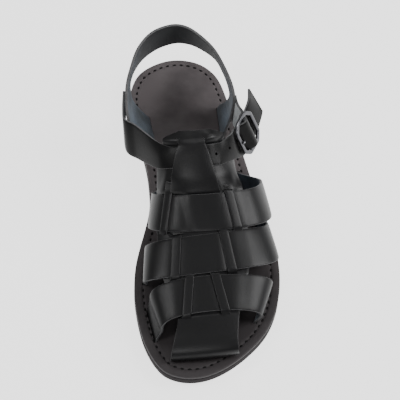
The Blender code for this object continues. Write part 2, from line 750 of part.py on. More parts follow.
def build_buckle(leather, metal):
    """Ankle strap, buckle frame with its centre bar, prong and chape."""
    strap = sheet("ankle_strap", ankle_grid(), STRAP_LEATHER, leather)
    cut(strap, [box_at("prong_hole", *PRONG_HOLE, None)])
    frame = buckle_ring("buckle_frame", BUCKLE_LENGTH, BUCKLE_WIDTH, BUCKLE_CORNER,
                        BUCKLE_THICK, metal)
    opening = buckle_ring("buckle_opening", BUCKLE_LENGTH - 2 * BUCKLE_BAR,
                          BUCKLE_WIDTH - 2 * BUCKLE_BAR, INNER_CORNER, FRAME_CUTTER,
                          None)
    bar = box_at("centre_bar", (-CENTRE_BAR / 2, CENTRE_BAR / 2),
                 (-BUCKLE_WIDTH / 2 + 1, BUCKLE_WIDTH / 2 - 1),
                 (-CENTRE_BAR / 2, CENTRE_BAR / 2), None)
    cut(frame, [opening])
    cut(frame, [bar], "UNION")
    prong_object("buckle_prong", metal)
    sheet("buckle_chape", chape_grid(), STRAP_LEATHER, leather)


def main():
    for obj in list(bpy.data.objects):
        bpy.data.objects.remove(obj, do_unlink=True)
    leather = finish("black_leather", (0.012, 0.012, 0.013), 0.42)
    footbed = finish("footbed_leather", (0.075, 0.062, 0.062), 0.6)
    rubber = finish("sole_rubber", (0.018, 0.016, 0.017), 0.65)
    metal = finish("gunmetal", (0.16, 0.15, 0.15), 0.35, 1.0)
    insole = build_sole(rubber, footbed)
    build_upper(leather, insole)
    build_heel_strap(leather, insole)
    build_buckle(leather, metal)


main()
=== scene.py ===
"""Fisherman sandal for the left foot, in black leather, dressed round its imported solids.

Lengths are in millimetres inside the classes and turn to metres where a mesh is made.
A station is the distance from the back of the heel towards the toe, and a sideways
place is measured from the heel's centre line, outwards to the little-toe side.
"""

import logging
import math
from dataclasses import dataclass, field, replace
from enum import Enum
from functools import partial
from typing import Callable, Iterable, NamedTuple, Optional, Sequence

import bpy
import numpy as np
from bpy.types import Material, Node, NodeSocket, NodeTree, Object
from mathutils import Matrix, Vector


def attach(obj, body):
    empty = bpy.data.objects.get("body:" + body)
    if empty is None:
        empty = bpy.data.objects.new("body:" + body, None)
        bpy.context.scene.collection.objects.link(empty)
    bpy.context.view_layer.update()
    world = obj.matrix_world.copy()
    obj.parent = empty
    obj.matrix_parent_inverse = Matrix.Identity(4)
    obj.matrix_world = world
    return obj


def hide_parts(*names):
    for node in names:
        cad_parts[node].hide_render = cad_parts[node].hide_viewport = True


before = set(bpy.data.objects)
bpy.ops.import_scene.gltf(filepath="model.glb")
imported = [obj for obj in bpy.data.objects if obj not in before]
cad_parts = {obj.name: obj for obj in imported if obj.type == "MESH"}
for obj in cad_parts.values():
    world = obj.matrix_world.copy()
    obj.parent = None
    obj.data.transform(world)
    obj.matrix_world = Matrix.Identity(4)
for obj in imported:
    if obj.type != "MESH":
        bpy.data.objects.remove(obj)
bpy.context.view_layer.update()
LOG = logging.getLogger("sandal")

Place = tuple[float, float, float]
Pair = tuple[np.ndarray, np.ndarray]

MM = 0.001
SOLE_LENGTH = 285.0
FOOTBED_LEATHER = 3.7
OUTSOLE_THICK = 6.7
HEEL_LIFT = 8.0
LIFT_START, LIFT_RUN = 50.0, 135.0
TOE_SPRING = 4.0
SPRING_START, SPRING_RUN = 215.0, 70.0
FIT_GAP = 0.3
STRAP_LEATHER = 2.2
THREAD_STEP = 2.15
THIN_LEATHER = 1.9
MID_STATION = 142.5
MID_ACROSS = 14.75
ARCH_POWER = 2.3
ARCH_SHARE = 0.74
WIDEST_HEIGHT = 0.42
LEAN_SHARE = 0.7
ARCH_LIMIT = 0.97
ROW_LENGTH = 9.0
SLOT_ROOM = 0.35
SLOT_LEVELS = (1.5, -1.0, -3.45)

SOLE_OUTLINE: list[Place] = [
    (0, -0.5, -0.5), (4, -17.5, 17), (12, -29.5, 27), (20, -35, 32.2), (34, -38.9, 37),
    (48, -38.6, 40.4), (62, -36, 43.2), (78, -32, 46.8), (92, -28.4, 50.2), (107, -25.6, 54.1),
    (121, -24.3, 58), (133, -24, 61.9), (145, -25.2, 65.6), (158, -28.2, 69.4),
    (172, -31.8, 72.6), (186, -34.8, 74.2), (200, -36.2, 74.5), (214, -36.2, 73.2),
    (228, -34.7, 70), (242, -32.2, 64.2), (252, -29.6, 57.6), (262, -25.8, 48.6),
    (272, -20.4, 37.2), (280, -13, 24.5), (285, 4.5, 4.5),
]


class Hoop(NamedTuple):
    """A line across the foot from its medial root over the crown to its lateral root."""

    medial: float
    crown: float
    lateral: float
    root_in: float
    side_in: float
    ridge: float
    side_out: float
    root_out: float
    height: float


class TongueRow(NamedTuple):
    """A section of the tongue with its two edges and its two slits."""

    medial: float
    crown: float
    lateral: float
    side_in: float
    ridge: float
    side_out: float
    height: float
    edge_in: float
    slit_in: float
    slit_out: float
    edge_out: float


class StripPlace(NamedTuple):
    """A raised strip: its strap, and its middle at the strap's rear and front edge."""

    strap: str
    rear: float
    front: float
    width: float = 6.8


class BandRow(NamedTuple):
    """The upper or front edge and the lower or rear edge of a band at one row."""

    front_at: float
    front_across: float
    front_up: float
    rear_at: float
    rear_across: float
    rear_up: float


STRAPS: dict[str, tuple[Hoop, Hoop]] = {
    "toe": (Hoop(254, 240.5, 238, -20.0, -16, 22, 58.0, 54, 35.0),
            Hoop(227, 214.5, 210, -26.0, -24.5, 20, 67.0, 63, 42.3)),
    "middle": (Hoop(205, 212.2, 175, -27.5, -29, 20, 72.5, 64.4, 42.5),
               Hoop(176, 183.9, 147, -24.2, -27.5, 18, 65.0, 57.7, 51.0)),
    "instep": (Hoop(150, 181.6, 135, -17.8, -25, 19, 68.0, 54.0, 52.0),
               Hoop(121, 157.0, 106, -15.8, -22, 19, 61.0, 45.5, 64.5)),
}
TONGUE: list[TongueRow] = [TongueRow(*row) for row in (
    (257, 267.4, 233, -30, 16, 60, 9.7, -9, 0, 30, 38.4),
    (257, 267.4, 233, -30, 16, 60, 13.6, -9, 0, 30, 38.4),
    (259, 270.6, 238, -30, 16, 60, 18.8, -9.8, 0, 30, 40.6),
    (259, 268.2, 247, -29, 16, 60, 25.2, -9, 0, 30, 40.2),
    (257, 257.5, 250, -25, 18, 60, 30, -6.4, 1, 30, 39.8),
    (254, 241.5, 238, -19, 20, 59, 32.8, -4, 1, 29, 41.4),
    (240, 227.5, 224, -22, 20, 63, 36.3, -6.5, -2, 29, 44),
    (216, 213.3, 193, -27, 20, 69, 40.2, -14, -5, 30, 48.5),
    (190, 197.5, 161, -28, 19, 68, 44.8, -17, -8, 33, 49.2),
    (163, 182.8, 141, -26, 19, 66, 49.4, -18.5, -10, 33.4, 48.8),
    (137, 169.5, 121, -24, 18, 64, 54.9, -19.5, -10, 31.4, 47),
    (121, 156.5, 106, -22, 16, 60, 63.6, -18.6, -9.4, 28.2, 45.2),
    (108, 146.5, 93, -27, 11, 49, 73.9, -22, -8.6, 24.4, 43.6),
    (88, 134.5, 72, -31, 11, 43.5, 82.2, -21.5, -6.2, 19.8, 40.6),
    (76, 126.5, 60, -31, 13, 41, 86.6, -16.5, -3.6, 16.4, 33),
    (70, 120.7, 54, -31, 13, 41, 87.9, -14.2, -3.2, 15.6, 30.5),
    (66, 115.2, 50, -31, 13, 41, 88.4, -3.2, 1, 13, 20),
)]
STRIPS: list[StripPlace] = [
    StripPlace("toe", 4.4, 2.2), StripPlace("toe", 23.8, 30.6),
    StripPlace("middle", -4.8, -6.2), StripPlace("middle", 30.2, 36.4),
    StripPlace("instep", -10.8, -14.4, 4.9), StripPlace("instep", 34.4, 41.2, 6.2),
]
HEEL_BAND: list[BandRow] = [BandRow(*row) for row in (
    (87.5, -19, 19, 57, -25, 19.3), (92, -27.6, 36, 57.5, -32, 31),
    (96, -37.2, 55, 58, -37.6, 44), (89.5, -41.5, 71.5, 55, -39.6, 53),
    (70, -42, 78, 46, -39.4, 54), (51, -38.6, 78, 35, -35.9, 54), (32, -33, 78, 24, -29, 54),
    (17, -22.5, 78, 14.8, -18.3, 54), (10, -8.5, 78, 9.4, -6, 54), (10.5, 2.5, 78, 8.9, 3.6, 54),
    (17.5, 12.8, 78, 13, 14.6, 54), (32, 25, 78, 24.2, 28, 54), (50, 33.2, 78, 38, 34.4, 54),
    (67, 38.6, 77.6, 50, 38, 53), (76.5, 40.4, 71, 55.5, 39.2, 48), (78, 39, 50, 53, 37, 36),
    (79, 35.6, 33, 49, 33, 26), (80, 34, 19, 47.5, 31, 19.3),
)]
ANKLE_MEDIAL: list[BandRow] = [BandRow(*row) for row in (
    (70, -44.1, 74.5, 71.5, -43.2, 51.5), (84, -44.6, 70.5, 90, -43.3, 47),
    (91.5, -43.4, 68, 108, -41.4, 47.5), (98, -35.6, 69.6, 117, -33.4, 51.5),
)]
ANKLE_ACROSS: list[float] = [-19.0, -10.0, 0.0, 10.0, 20.0, 25.0, 30.0]
ANKLE_LATERAL = BandRow(112.0, 36.6, 78.5, 124.0, 40.2, 62.0)
ANKLE_FREE: list[BandRow] = [BandRow(*row) for row in (
    (80, 50.8, 78, 81, 61.8, 55.3), (71.5, 51.2, 80, 77, 62.8, 58),
)]
CHAPE_QUARTER: list[BandRow] = [BandRow(*row) for row in (
    (69, 41.5, 67.5, 64, 40.2, 44), (75.5, 42.3, 68.5, 76, 41.2, 42),
    (81.5, 43.9, 70, 85, 44.8, 43.5),
)]


def spot(station: float, across: float, up: float) -> np.ndarray:
    """Place in the model's axes, in millimetres."""
    return np.array([across - MID_ACROSS, MID_STATION - station, up])


def ease(share: float) -> float:
    """Soft step from 0 to 1."""
    share = min(max(share, 0.0), 1.0)
    return share * share * (3.0 - 2.0 * share)


def bump_shape(offset: float, reach: float) -> float:
    """Soft hill that is 1 at its middle and fades over its reach."""
    return math.exp(-((offset / reach) ** 2))


def through(places: Sequence[float], values: Sequence, at: float) -> np.ndarray:
    """Smooth curve through values given at rising places.

    Args:
        places: Rising places.
        values: Value at each place, a number or an array.
        at: Place where the curve is read.

    Returns:
        The value at that place.
    """
    at = min(max(at, places[0]), places[-1])
    k = min(max(int(np.searchsorted(places, at)) - 1, 0), len(places) - 2)

    def slope(i: int) -> np.ndarray:
        """Slope of the curve at one of its places."""
        low, high = max(i - 1, 0), min(i + 1, len(places) - 1)
        return (np.asarray(values[high], float) - np.asarray(values[low], float)) / (
            places[high] - places[low])

    run = places[k + 1] - places[k]
    s = (at - places[k]) / run
    return ((2 * s ** 3 - 3 * s ** 2 + 1) * np.asarray(values[k], float)
            + (s ** 3 - 2 * s ** 2 + s) * run * slope(k)
            + (3 * s ** 2 - 2 * s ** 3) * np.asarray(values[k + 1], float)
            + (s ** 3 - s ** 2) * run * slope(k + 1))


def footbed_height(station: float) -> float:
    """Top of the footbed: raised at the heel, flat at the ball, sprung at the toe."""
    low = FOOTBED_LEATHER + OUTSOLE_THICK + 2 * FIT_GAP
    height = low + HEEL_LIFT * (1.0 - ease((station - LIFT_START) / LIFT_RUN))
    if station > SPRING_START:
        height += TOE_SPRING * ((station - SPRING_START) / SPRING_RUN) ** 2
    return height


def outsole_top(station: float) -> float:
    """Top of the outsole, just under the footbed leather."""
    return footbed_height(station) - FOOTBED_LEATHER - FIT_GAP


def outsole_bottom(station: float) -> float:
    """Underside of the outsole."""
    return max(outsole_top(station) - OUTSOLE_THICK - FIT_GAP, 0.0)


def hoop_point(hoop: Hoop, turn: float) -> np.ndarray:
    """Point of a hoop: turn is -1 at its medial root, 0 at the crown, 1 laterally."""
    outer = turn > 0
    side = hoop.side_out if outer else hoop.side_in
    root = hoop.root_out if outer else hoop.root_in
    floor = footbed_height(hoop.lateral if outer else hoop.medial)
    widest = floor + WIDEST_HEIGHT * (hoop.height - floor)
    far = abs(turn)
    if far <= ARCH_SHARE:
        angle = 0.5 * math.pi * far / ARCH_SHARE
        reach = (math.sin(angle) ** ARCH_POWER + math.cos(angle) ** ARCH_POWER) ** (
            -1 / ARCH_POWER)
        across = hoop.ridge + (side - hoop.ridge) * math.sin(angle) * reach
        up = widest + (hoop.height - widest) * math.cos(angle) * reach
    else:
        share = (far - ARCH_SHARE) / (1.0 - ARCH_SHARE)
        across = side + (root - side) * ease(share)
        up = widest + (floor - widest) * share
    drop = (hoop.height - up) / (hoop.height - floor)
    bend = LEAN_SHARE * drop + (1.0 - LEAN_SHARE) * turn * turn
    middle = 0.5 * (hoop.medial + hoop.lateral)
    slant = 0.5 * (hoop.lateral - hoop.medial)
    return spot(middle + slant * turn + (hoop.crown - middle) * (1.0 - bend), across, up)


def hoop_at(hoop: Hoop, across: float) -> np.ndarray:
    """Point of a hoop's arch at a sideways place."""
    side = hoop.side_out if across > hoop.ridge else hoop.side_in
    share = min(abs((across - hoop.ridge) / (side - hoop.ridge)), ARCH_LIMIT)
    rest = (1.0 - share ** ARCH_POWER) ** (1 / ARCH_POWER)
    turn = ARCH_SHARE * math.atan2(share, rest) / (0.5 * math.pi)
    return hoop_point(hoop, math.copysign(turn, across - hoop.ridge))


def tongue_hoop(row: float) -> Hoop:
    """Hoop of the tongue's surface at a row, which may lie between two sections."""
    medial, crown, lateral, side_in, ridge, side_out, height = through(
        range(len(TONGUE)), [section[:7] for section in TONGUE], row)
    return Hoop(medial, crown, lateral, side_in, side_in, ridge, side_out, side_out, height)


def tongue_rails(row: float) -> np.ndarray:
    """Sideways places of the tongue's edges and slits at a row."""
    return through(range(len(TONGUE)), [section[7:] for section in TONGUE], row)


def surface_normals(grid: np.ndarray) -> np.ndarray:
    """Unit normals of a grid of points."""
    normal = np.cross(np.gradient(grid, axis=1), np.gradient(grid, axis=0))
    return normal / np.maximum(np.linalg.norm(normal, axis=2, keepdims=True), 1e-9)


def edge_pairs(rows: Iterable[BandRow]) -> list[Pair]:
    """Pairs of upper and lower places from a table of band rows."""
    return [(spot(r.front_at, r.front_across, r.front_up),
             spot(r.rear_at, r.rear_across, r.rear_up)) for r in rows]


def across_band(pair: Pair, widths: int) -> np.ndarray:
    """Even places across a band between its two edges."""
    return np.array([pair[0] + (pair[1] - pair[0]) * k / (widths - 1) for k in range(widths)])


def smooth_rows(rows: list[np.ndarray], steps: int) -> np.ndarray:
    """Rows of a band with smooth rows added between them."""
    runs = [0.0]
    for row, following in zip(rows, rows[1:]):
        runs.append(runs[-1] + float(np.linalg.norm(row.mean(axis=0) - following.mean(axis=0))))
    grid = [through(runs, rows, start + (end - start) * k / steps)
            for start, end in zip(runs, runs[1:]) for k in range(steps)]
    grid.append(rows[-1])
    return np.array(grid)


def path_lengths(points: np.ndarray) -> np.ndarray:
    """Length of a path up to each of its points."""
    steps = np.linalg.norm(np.diff(points, axis=0), axis=1)
    return np.concatenate([[0.0], np.cumsum(steps)])


def with_roots(grid: np.ndarray) -> np.ndarray:
    """Rows of a strap with the rows of its two ends, which stand in the footbed."""
    depth = FOOTBED_LEATHER - FIT_GAP
    low = [grid[0] - (0, 0, depth * k / 3) for k in (3, 2, 1)]
    high = [grid[-1] - (0, 0, depth * k / 3) for k in (1, 2, 3)]
    return np.concatenate([low, grid, high])


# ---------------------------------------------------------------- finishes


def linear(hex_colour: str) -> tuple[float, float, float, float]:
    """Linear colour of an sRGB hex value."""
    parts = [int(hex_colour[i:i + 2], 16) / 255.0 for i in (1, 3, 5)]
    red, green, blue = [c / 12.92 if c <= 0.04045 else ((c + 0.055) / 1.055) ** 2.4 for c in parts]
    return (red, green, blue, 1.0)


def add_node(tree: NodeTree, kind: str, settings: Optional[dict] = None,
             links: Optional[dict] = None) -> Node:
    """Adds a shader node.

    Args:
        tree: Node tree that gets the node.
        kind: Node type, such as ShaderNodeTexNoise.
        settings: Attributes by name, or input values by input name.
        links: Output socket by the name or number of the input it feeds.

    Returns:
        The new node.
    """
    node = tree.nodes.new(kind)
    for name, value in (settings or {}).items():
        if isinstance(name, str) and name not in node.inputs:
            setattr(node, name, value)
        else:
            node.inputs[name].default_value = value
    for name, socket in (links or {}).items():
        tree.links.new(socket, node.inputs[name])
    return node


class Noise(NamedTuple):
    """A noise: its spots per metre, its detail and its roughness."""

    scale: float
    detail: float
    rough: float = 0.5


class Shading:
    """Node tree of one material, with the parts that the finishes share."""

    def __init__(self, name: str, values: dict[str, object]) -> None:
        """Makes the material.

        Args:
            name: Name of the real material.
            values: Fixed values of the main shader by input name.
        """
        self.material = bpy.data.materials.new(name)
        self.material.use_nodes = True
        self.tree = self.material.node_tree
        self.shader = self.tree.nodes["Principled BSDF"]
        self.where = add_node(self.tree, "ShaderNodeTexCoord").outputs["Object"]
        for key, value in values.items():
            self.shader.inputs[key].default_value = value

    def feed(self, name: str, socket: NodeSocket) -> None:
        """Feeds an input of the main shader."""
        self.tree.links.new(socket, self.shader.inputs[name])

    def noise(self, noise: Noise) -> NodeSocket:
        """Noise over the piece."""
        return add_node(self.tree, "ShaderNodeTexNoise", {
            "Scale": noise.scale, "Detail": noise.detail, "Roughness": noise.rough},
            {"Vector": self.where}).outputs["Fac"]

    def spread(self, value: NodeSocket, low: float, high: float,
               to_low: float = 0.0, to_high: float = 1.0) -> NodeSocket:
        """Maps one range of a value to another."""
        return add_node(self.tree, "ShaderNodeMapRange",
                        {"From Min": low, "From Max": high, "To Min": to_low, "To Max": to_high},
                        {"Value": value}).outputs["Result"]

    def lengthwise(self, start: float, end: float) -> NodeSocket:
        """Share of the way between two places along the sandal, in metres."""
        axes = add_node(self.tree, "ShaderNodeSeparateXYZ", {}, {"Vector": self.where})
        return self.spread(axes.outputs["Y"], start, end)

    def mix(self, share: NodeSocket, first: object, second: str) -> NodeSocket:
        """Blends a colour value or socket with a second colour value."""
        node = add_node(self.tree, "ShaderNodeMix", {"data_type": "RGBA"}, {"Factor": share})
        if isinstance(first, str):
            node.inputs[6].default_value = linear(first)
        else:
            self.tree.links.new(first, node.inputs[6])
        node.inputs[7].default_value = linear(second)
        return node.outputs[2]

    def bump(self, height: NodeSocket, strength: float, distance: float) -> None:
        """Raises the surface with a value; the distance is in metres."""
        node = add_node(self.tree, "ShaderNodeBump",
                        {"Strength": strength, "Distance": distance}, {"Height": height})
        self.feed("Normal", node.outputs["Normal"])


@dataclass(frozen=True)
class Finish:
    """A finish with its colours, its relief and its gloss.

    The levels of the cloud run from the dark to the light colour; the nap is the share
    of the fine noise in the cloud. The end colour is painted shade: it takes over
    between two places along the sandal, in metres, the heel's end being positive.
    Pores and ribs are in millimetres, and uneven gives the range of the roughness
    round its middle.
    """

    name: str
    dark: str
    light: str = ""
    end: str = ""
    between: tuple[float, float] = (0.0, 0.0)
    cloud: Optional[Noise] = None
    levels: tuple[float, float] = (0.0, 1.0)
    nap: float = 0.0
    fine: Noise = Noise(1000 / 2.6, 6, 0.6)
    strength: float = 0.0
    depth: float = 0.00015
    pores: float = 0.0
    ribs: float = 0.0
    rib_slant: float = 0.8
    roughness: float = 0.6
    uneven: Optional[tuple[float, float]] = None
    specular: float = 0.2
    sheen: float = 0.0
    metal: bool = False

    def values(self) -> dict[str, object]:
        """Fixed values of the main shader; a metal keeps its default reflection."""
        values = {"Base Color": linear(self.dark), "Roughness": self.roughness}
        if self.metal:
            return {**values, "Metallic": 1.0}
        if self.sheen:
            values |= {"Sheen Weight": self.sheen, "Sheen Roughness": 0.5}
        return {**values, "Specular IOR Level": self.specular}

    def share(self, shading: Shading, fine: NodeSocket) -> NodeSocket:
        """Share of the light colour."""
        cloud = shading.noise(self.cloud) if self.cloud else fine
        if self.nap:
            cloud = add_node(shading.tree, "ShaderNodeMath",
                             {"operation": "MULTIPLY_ADD", 1: self.nap},
                             {0: fine, 2: cloud}).outputs[0]
        return shading.spread(cloud, *self.levels)

    def relief(self, shading: Shading, fine: NodeSocket) -> NodeSocket:
        """Height of the relief: ribs, pores with the fine noise on them, or the noise."""
        if self.ribs:
            turned = add_node(shading.tree, "ShaderNodeMapping",
                              {"Rotation": (0.0, 0.0, self.rib_slant)},
                              {"Vector": shading.where})
            return add_node(shading.tree, "ShaderNodeTexWave",
                            {"Scale": 1.0 / (self.ribs * MM) / 3.2},
                            {"Vector": turned.outputs["Vector"]}).outputs["Fac"]
        if self.pores:
            pores = add_node(shading.tree, "ShaderNodeTexVoronoi",
                             {"Scale": 1.0 / (self.pores * MM)}, {"Vector": shading.where})
            return add_node(shading.tree, "ShaderNodeMath", {"operation": "ADD"},
                            {0: pores.outputs["Distance"], 1: fine}).outputs[0]
        return fine

    def make(self) -> Material:
        """Builds the material."""
        shading = Shading(self.name, self.values())
        fine = shading.noise(self.fine)
        if self.light:
            colour = shading.mix(self.share(shading, fine), self.dark, self.light)
            # The end colour is painted shade along the sandal
            if self.end:
                colour = shading.mix(shading.lengthwise(*self.between), colour, self.end)
            shading.feed("Base Color", colour)
        if self.strength:
            shading.bump(self.relief(shading, fine), self.strength, self.depth)
        if self.uneven:
            low, high = (self.roughness + shift for shift in self.uneven)
            shading.feed("Roughness", shading.spread(fine, 0.0, 1.0, low, high))
        return shading.material


# Vegetable-tanned cowhide, drum-dyed black; its thin wax gives a soft broad sheen
GRAIN = Finish("black_waxed_cowhide", "#070708", "#0f0f10", cloud=Noise(38, 4), strength=0.22,
               depth=0.00012, pores=0.9, roughness=0.38, uneven=(-0.05, 0.07), specular=0.19)
# A darker, less glossy copy of the same cowhide for the ankle strap: painted shade
SHADED_GRAIN = replace(GRAIN, name="black_cowhide_painted_shade", dark="#060606", light="#0c0c0d",
                     specular=0.11)
# The flesh side of the hide: dry, fibrous and cool grey; its darker end at the heel is painted
# shade inside the back of the heel band
FLESH = Finish("cowhide_flesh_side", "#1b2025", "#424c57", "#0e1013", (0.07, 0.115),
               Noise(60, 3), (0.5, 1.0), nap=0.5, fine=Noise(1000 / 1.6, 8, 0.75),
               strength=0.5, depth=0.0002, roughness=0.9, sheen=0.12)
# A pale copy of the flesh side for the chape: a painted highlight where its face catches the light
HIGHLIGHT_FLESH = replace(FLESH, name="flesh_side_painted_highlight", dark="#686b6d", light="#a2a5a6")
# Cut edge of the hide, dyed and rubbed; its grey, paler than the grain, is partly its own colour
# and partly a painted highlight of the lit edges
EDGE = Finish("cut_edge_and_painted_highlight", "#2f2f30", "#555556", fine=Noise(1000 / 3, 6, 0.7),
              strength=0.35, specular=0.25)
# Uncoated insole leather, dyed brown-black: matt and cloudy; it is darker towards the toes, as
# painted shade under the woven upper
FOOTBED = Finish("dyed_insole_leather", "#343031", "#4b4647", "#2a2728", (0.06, -0.07),
                 Noise(24, 5, 0.55), (0.32, 0.62), fine=Noise(1000 / 1.4, 7, 0.65),
                 strength=0.3)
# Moulded nitrile rubber, dark brown-black, buffed round its edge and ribbed on its tread
RUBBER = Finish("moulded_nitrile_rubber", "#242122", fine=Noise(1000 / 0.8, 4), strength=0.6,
                depth=0.0001, roughness=0.75, specular=0.1)
TREAD = replace(RUBBER, name="ribbed_nitrile_rubber", depth=0.0006, ribs=3.0)
# Die-cast buckle metal with a dark grey plating, tumbled to a soft gloss
METAL = Finish("dark_plated_steel", "#555558", fine=Noise(900, 5), roughness=0.38,
               uneven=(-0.08, 0.1), metal=True)
# Waxed linen thread, black, sunk in its groove
THREAD = Finish("waxed_linen_thread", "#060606", fine=Noise(2200, 2), strength=0.4,
                depth=0.0001, roughness=0.8, specular=0.15)


@dataclass
class Finishes:
    """All materials of the sandal, made once."""

    grain: Material = field(default_factory=GRAIN.make)
    shaded_grain: Material = field(default_factory=SHADED_GRAIN.make)
    flesh: Material = field(default_factory=FLESH.make)
    highlight_flesh: Material = field(default_factory=HIGHLIGHT_FLESH.make)
    edge: Material = field(default_factory=EDGE.make)
    footbed: Material = field(default_factory=FOOTBED.make)
    rubber: Material = field(default_factory=RUBBER.make)
    tread: Material = field(default_factory=TREAD.make)
    metal: Material = field(default_factory=METAL.make)
    thread: Material = field(default_factory=THREAD.make)


# ---------------------------------------------------------------- shaping


class Slot(Enum):
    """The record's material slots."""

    LEATHER = "black_leather"
    FOOTBED = "footbed_leather"
    RUBBER = "sole_rubber"
    METAL = "gunmetal"


def only(obj: Object) -> None:
    """Selects one object alone and makes it active."""
    bpy.ops.object.select_all(action="DESELECT")
    obj.select_set(True)
    bpy.context.view_layer.objects.active = obj


def apply_modifier(obj: Object, kind: str, **settings: object) -> None:
    """Adds a modifier with its settings and applies it."""
    only(obj)
    modifier = obj.modifiers.new(kind.lower(), kind)
    for name, value in settings.items():
        setattr(modifier, name, value)
    bpy.ops.object.modifier_apply(modifier=modifier.name)


# Mesh operators that edit_mesh runs
WELD = partial(bpy.ops.mesh.remove_doubles, threshold=0.00002)
OUTWARDS = partial(bpy.ops.mesh.normals_make_consistent, inside=False)


def edit_mesh(obj: Object, *steps: Callable[[], object]) -> None:
    """Runs mesh operators on all points of one object."""
    only(obj)
    bpy.ops.object.mode_set(mode="EDIT")
    for step in steps:
        bpy.ops.mesh.select_all(action="SELECT")
        step()
    bpy.ops.object.mode_set(mode="OBJECT")


def smooth_by(obj: Object, degrees: float) -> None:
    """Smooths the shading over edges that bend less than an angle."""
    only(obj)
    bpy.ops.object.shade_smooth_by_angle(angle=math.radians(degrees))


def join_to(obj: Object, *others: Object) -> None:
    """Joins other objects to one object."""
    only(obj)
    for other in others:
        other.select_set(True)
    bpy.ops.object.join()


def subtract(obj: Object, cutter: Object) -> None:
    """Cuts one object out of another and removes it."""
    apply_modifier(obj, "BOOLEAN", operation="DIFFERENCE", object=cutter, solver="EXACT")
    bpy.data.objects.remove(cutter, do_unlink=True)


def primitive(operator: Callable[..., object], name: str, **settings: object) -> Object:
    """Adds a named primitive with nothing else selected."""
    bpy.ops.object.select_all(action="DESELECT")
    operator(**settings)
    obj = bpy.context.object
    obj.name = obj.data.name = name
    return obj


def point_places(obj: Object) -> np.ndarray:
    """Places of a mesh's points, three numbers a row."""
    flat = np.zeros(len(obj.data.vertices) * 3)
    obj.data.vertices.foreach_get("co", flat)
    return flat.reshape(-1, 3)


def reshape(obj: Object, moved: Callable[..., np.ndarray]) -> None:
    """Moves each point to the place in millimetres that a function gives for it."""
    for vertex in obj.data.vertices:
        vertex.co = Vector(moved(*vertex.co)) * MM


def laid_grid(name: str, points: np.ndarray) -> Object:
    """Grid primitive whose points are laid on a surface.

    Args:
        name: Name of the new piece.
        points: Rows by columns of places in millimetres.

    Returns:
        The piece, open and without thickness, with its own UV map.
    """
    rows, cols = points.shape[:2]
    obj = primitive(bpy.ops.mesh.primitive_grid_add, name, x_subdivisions=cols - 1,
                    y_subdivisions=rows - 1, size=2.0)
    flat = point_places(obj)
    j = np.rint((flat[:, 0] + 1.0) / 2.0 * (cols - 1)).astype(int)
    i = np.rint((flat[:, 1] + 1.0) / 2.0 * (rows - 1)).astype(int)
    obj.data.vertices.foreach_set("co", (points[i, j] * MM).ravel())
    obj.data.update()
    return obj


def face_outwards(obj: Object, outward: Callable[[Vector], Vector]) -> None:
    """Turns an open sheet so that its faces point along a given direction."""
    total = sum(p.normal.dot(outward(p.center / MM)) * p.area for p in obj.data.polygons)
    if total < 0:
        edit_mesh(obj, bpy.ops.mesh.flip_normals)


def give_leather(obj: Object, finishes: Finishes, thickness: float = STRAP_LEATHER,
                 round_by: float = 0.5) -> None:
    """Turns an open sheet into leather with a grain side, a flesh side and cut edges.

    Args:
        obj: The open sheet, its faces towards the grain side.
        finishes: The sandal's materials.
        thickness: Thickness of the leather in millimetres.
        round_by: Rounding of the cut edges in millimetres.
    """
    for material in (finishes.grain, finishes.flesh, finishes.edge):
        obj.data.materials.append(material)
    apply_modifier(obj, "SOLIDIFY", thickness=thickness * MM, offset=0.0, use_even_offset=True,
                   material_offset=1, material_offset_rim=2)
    apply_modifier(obj, "BEVEL", width=round_by * MM, segments=3, limit_method="ANGLE",
                   angle_limit=math.radians(50))
    smooth_by(obj, 40)


def leather_sheet(name: str, grid: np.ndarray, outward: Callable[[Vector], Vector],
                  finishes: Finishes, **sizes: float) -> Object:
    """Lays a grid, turns it to its grain side and makes it leather.

    Args:
        name: Name of the new piece.
        grid: Middle surface of the leather.
        outward: Direction of the grain side at a place.
        finishes: The sandal's materials.
        **sizes: Thickness and rounding, where they differ from a strap's.

    Returns:
        The piece.
    """
    obj = laid_grid(name, grid)
    face_outwards(obj, outward)
    give_leather(obj, finishes, **sizes)
    return obj


def place_piece(obj: Object, slot: Slot, *nodes: str) -> None:
    """Lets a piece ride on the sandal and hides the imported parts that it takes the place of."""
    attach(obj, "root")
    if nodes:
        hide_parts(*nodes)
    LOG.info("%s: %d faces", obj.name, len(obj.data.polygons))


# ---------------------------------------------------------------- sole


@dataclass
class Ring:
    """One ring of a sole layer: its inset, its height, and its share to the middle."""

    inset: float
    up: float
    bottom: bool = False
    to_middle: float = 0.0


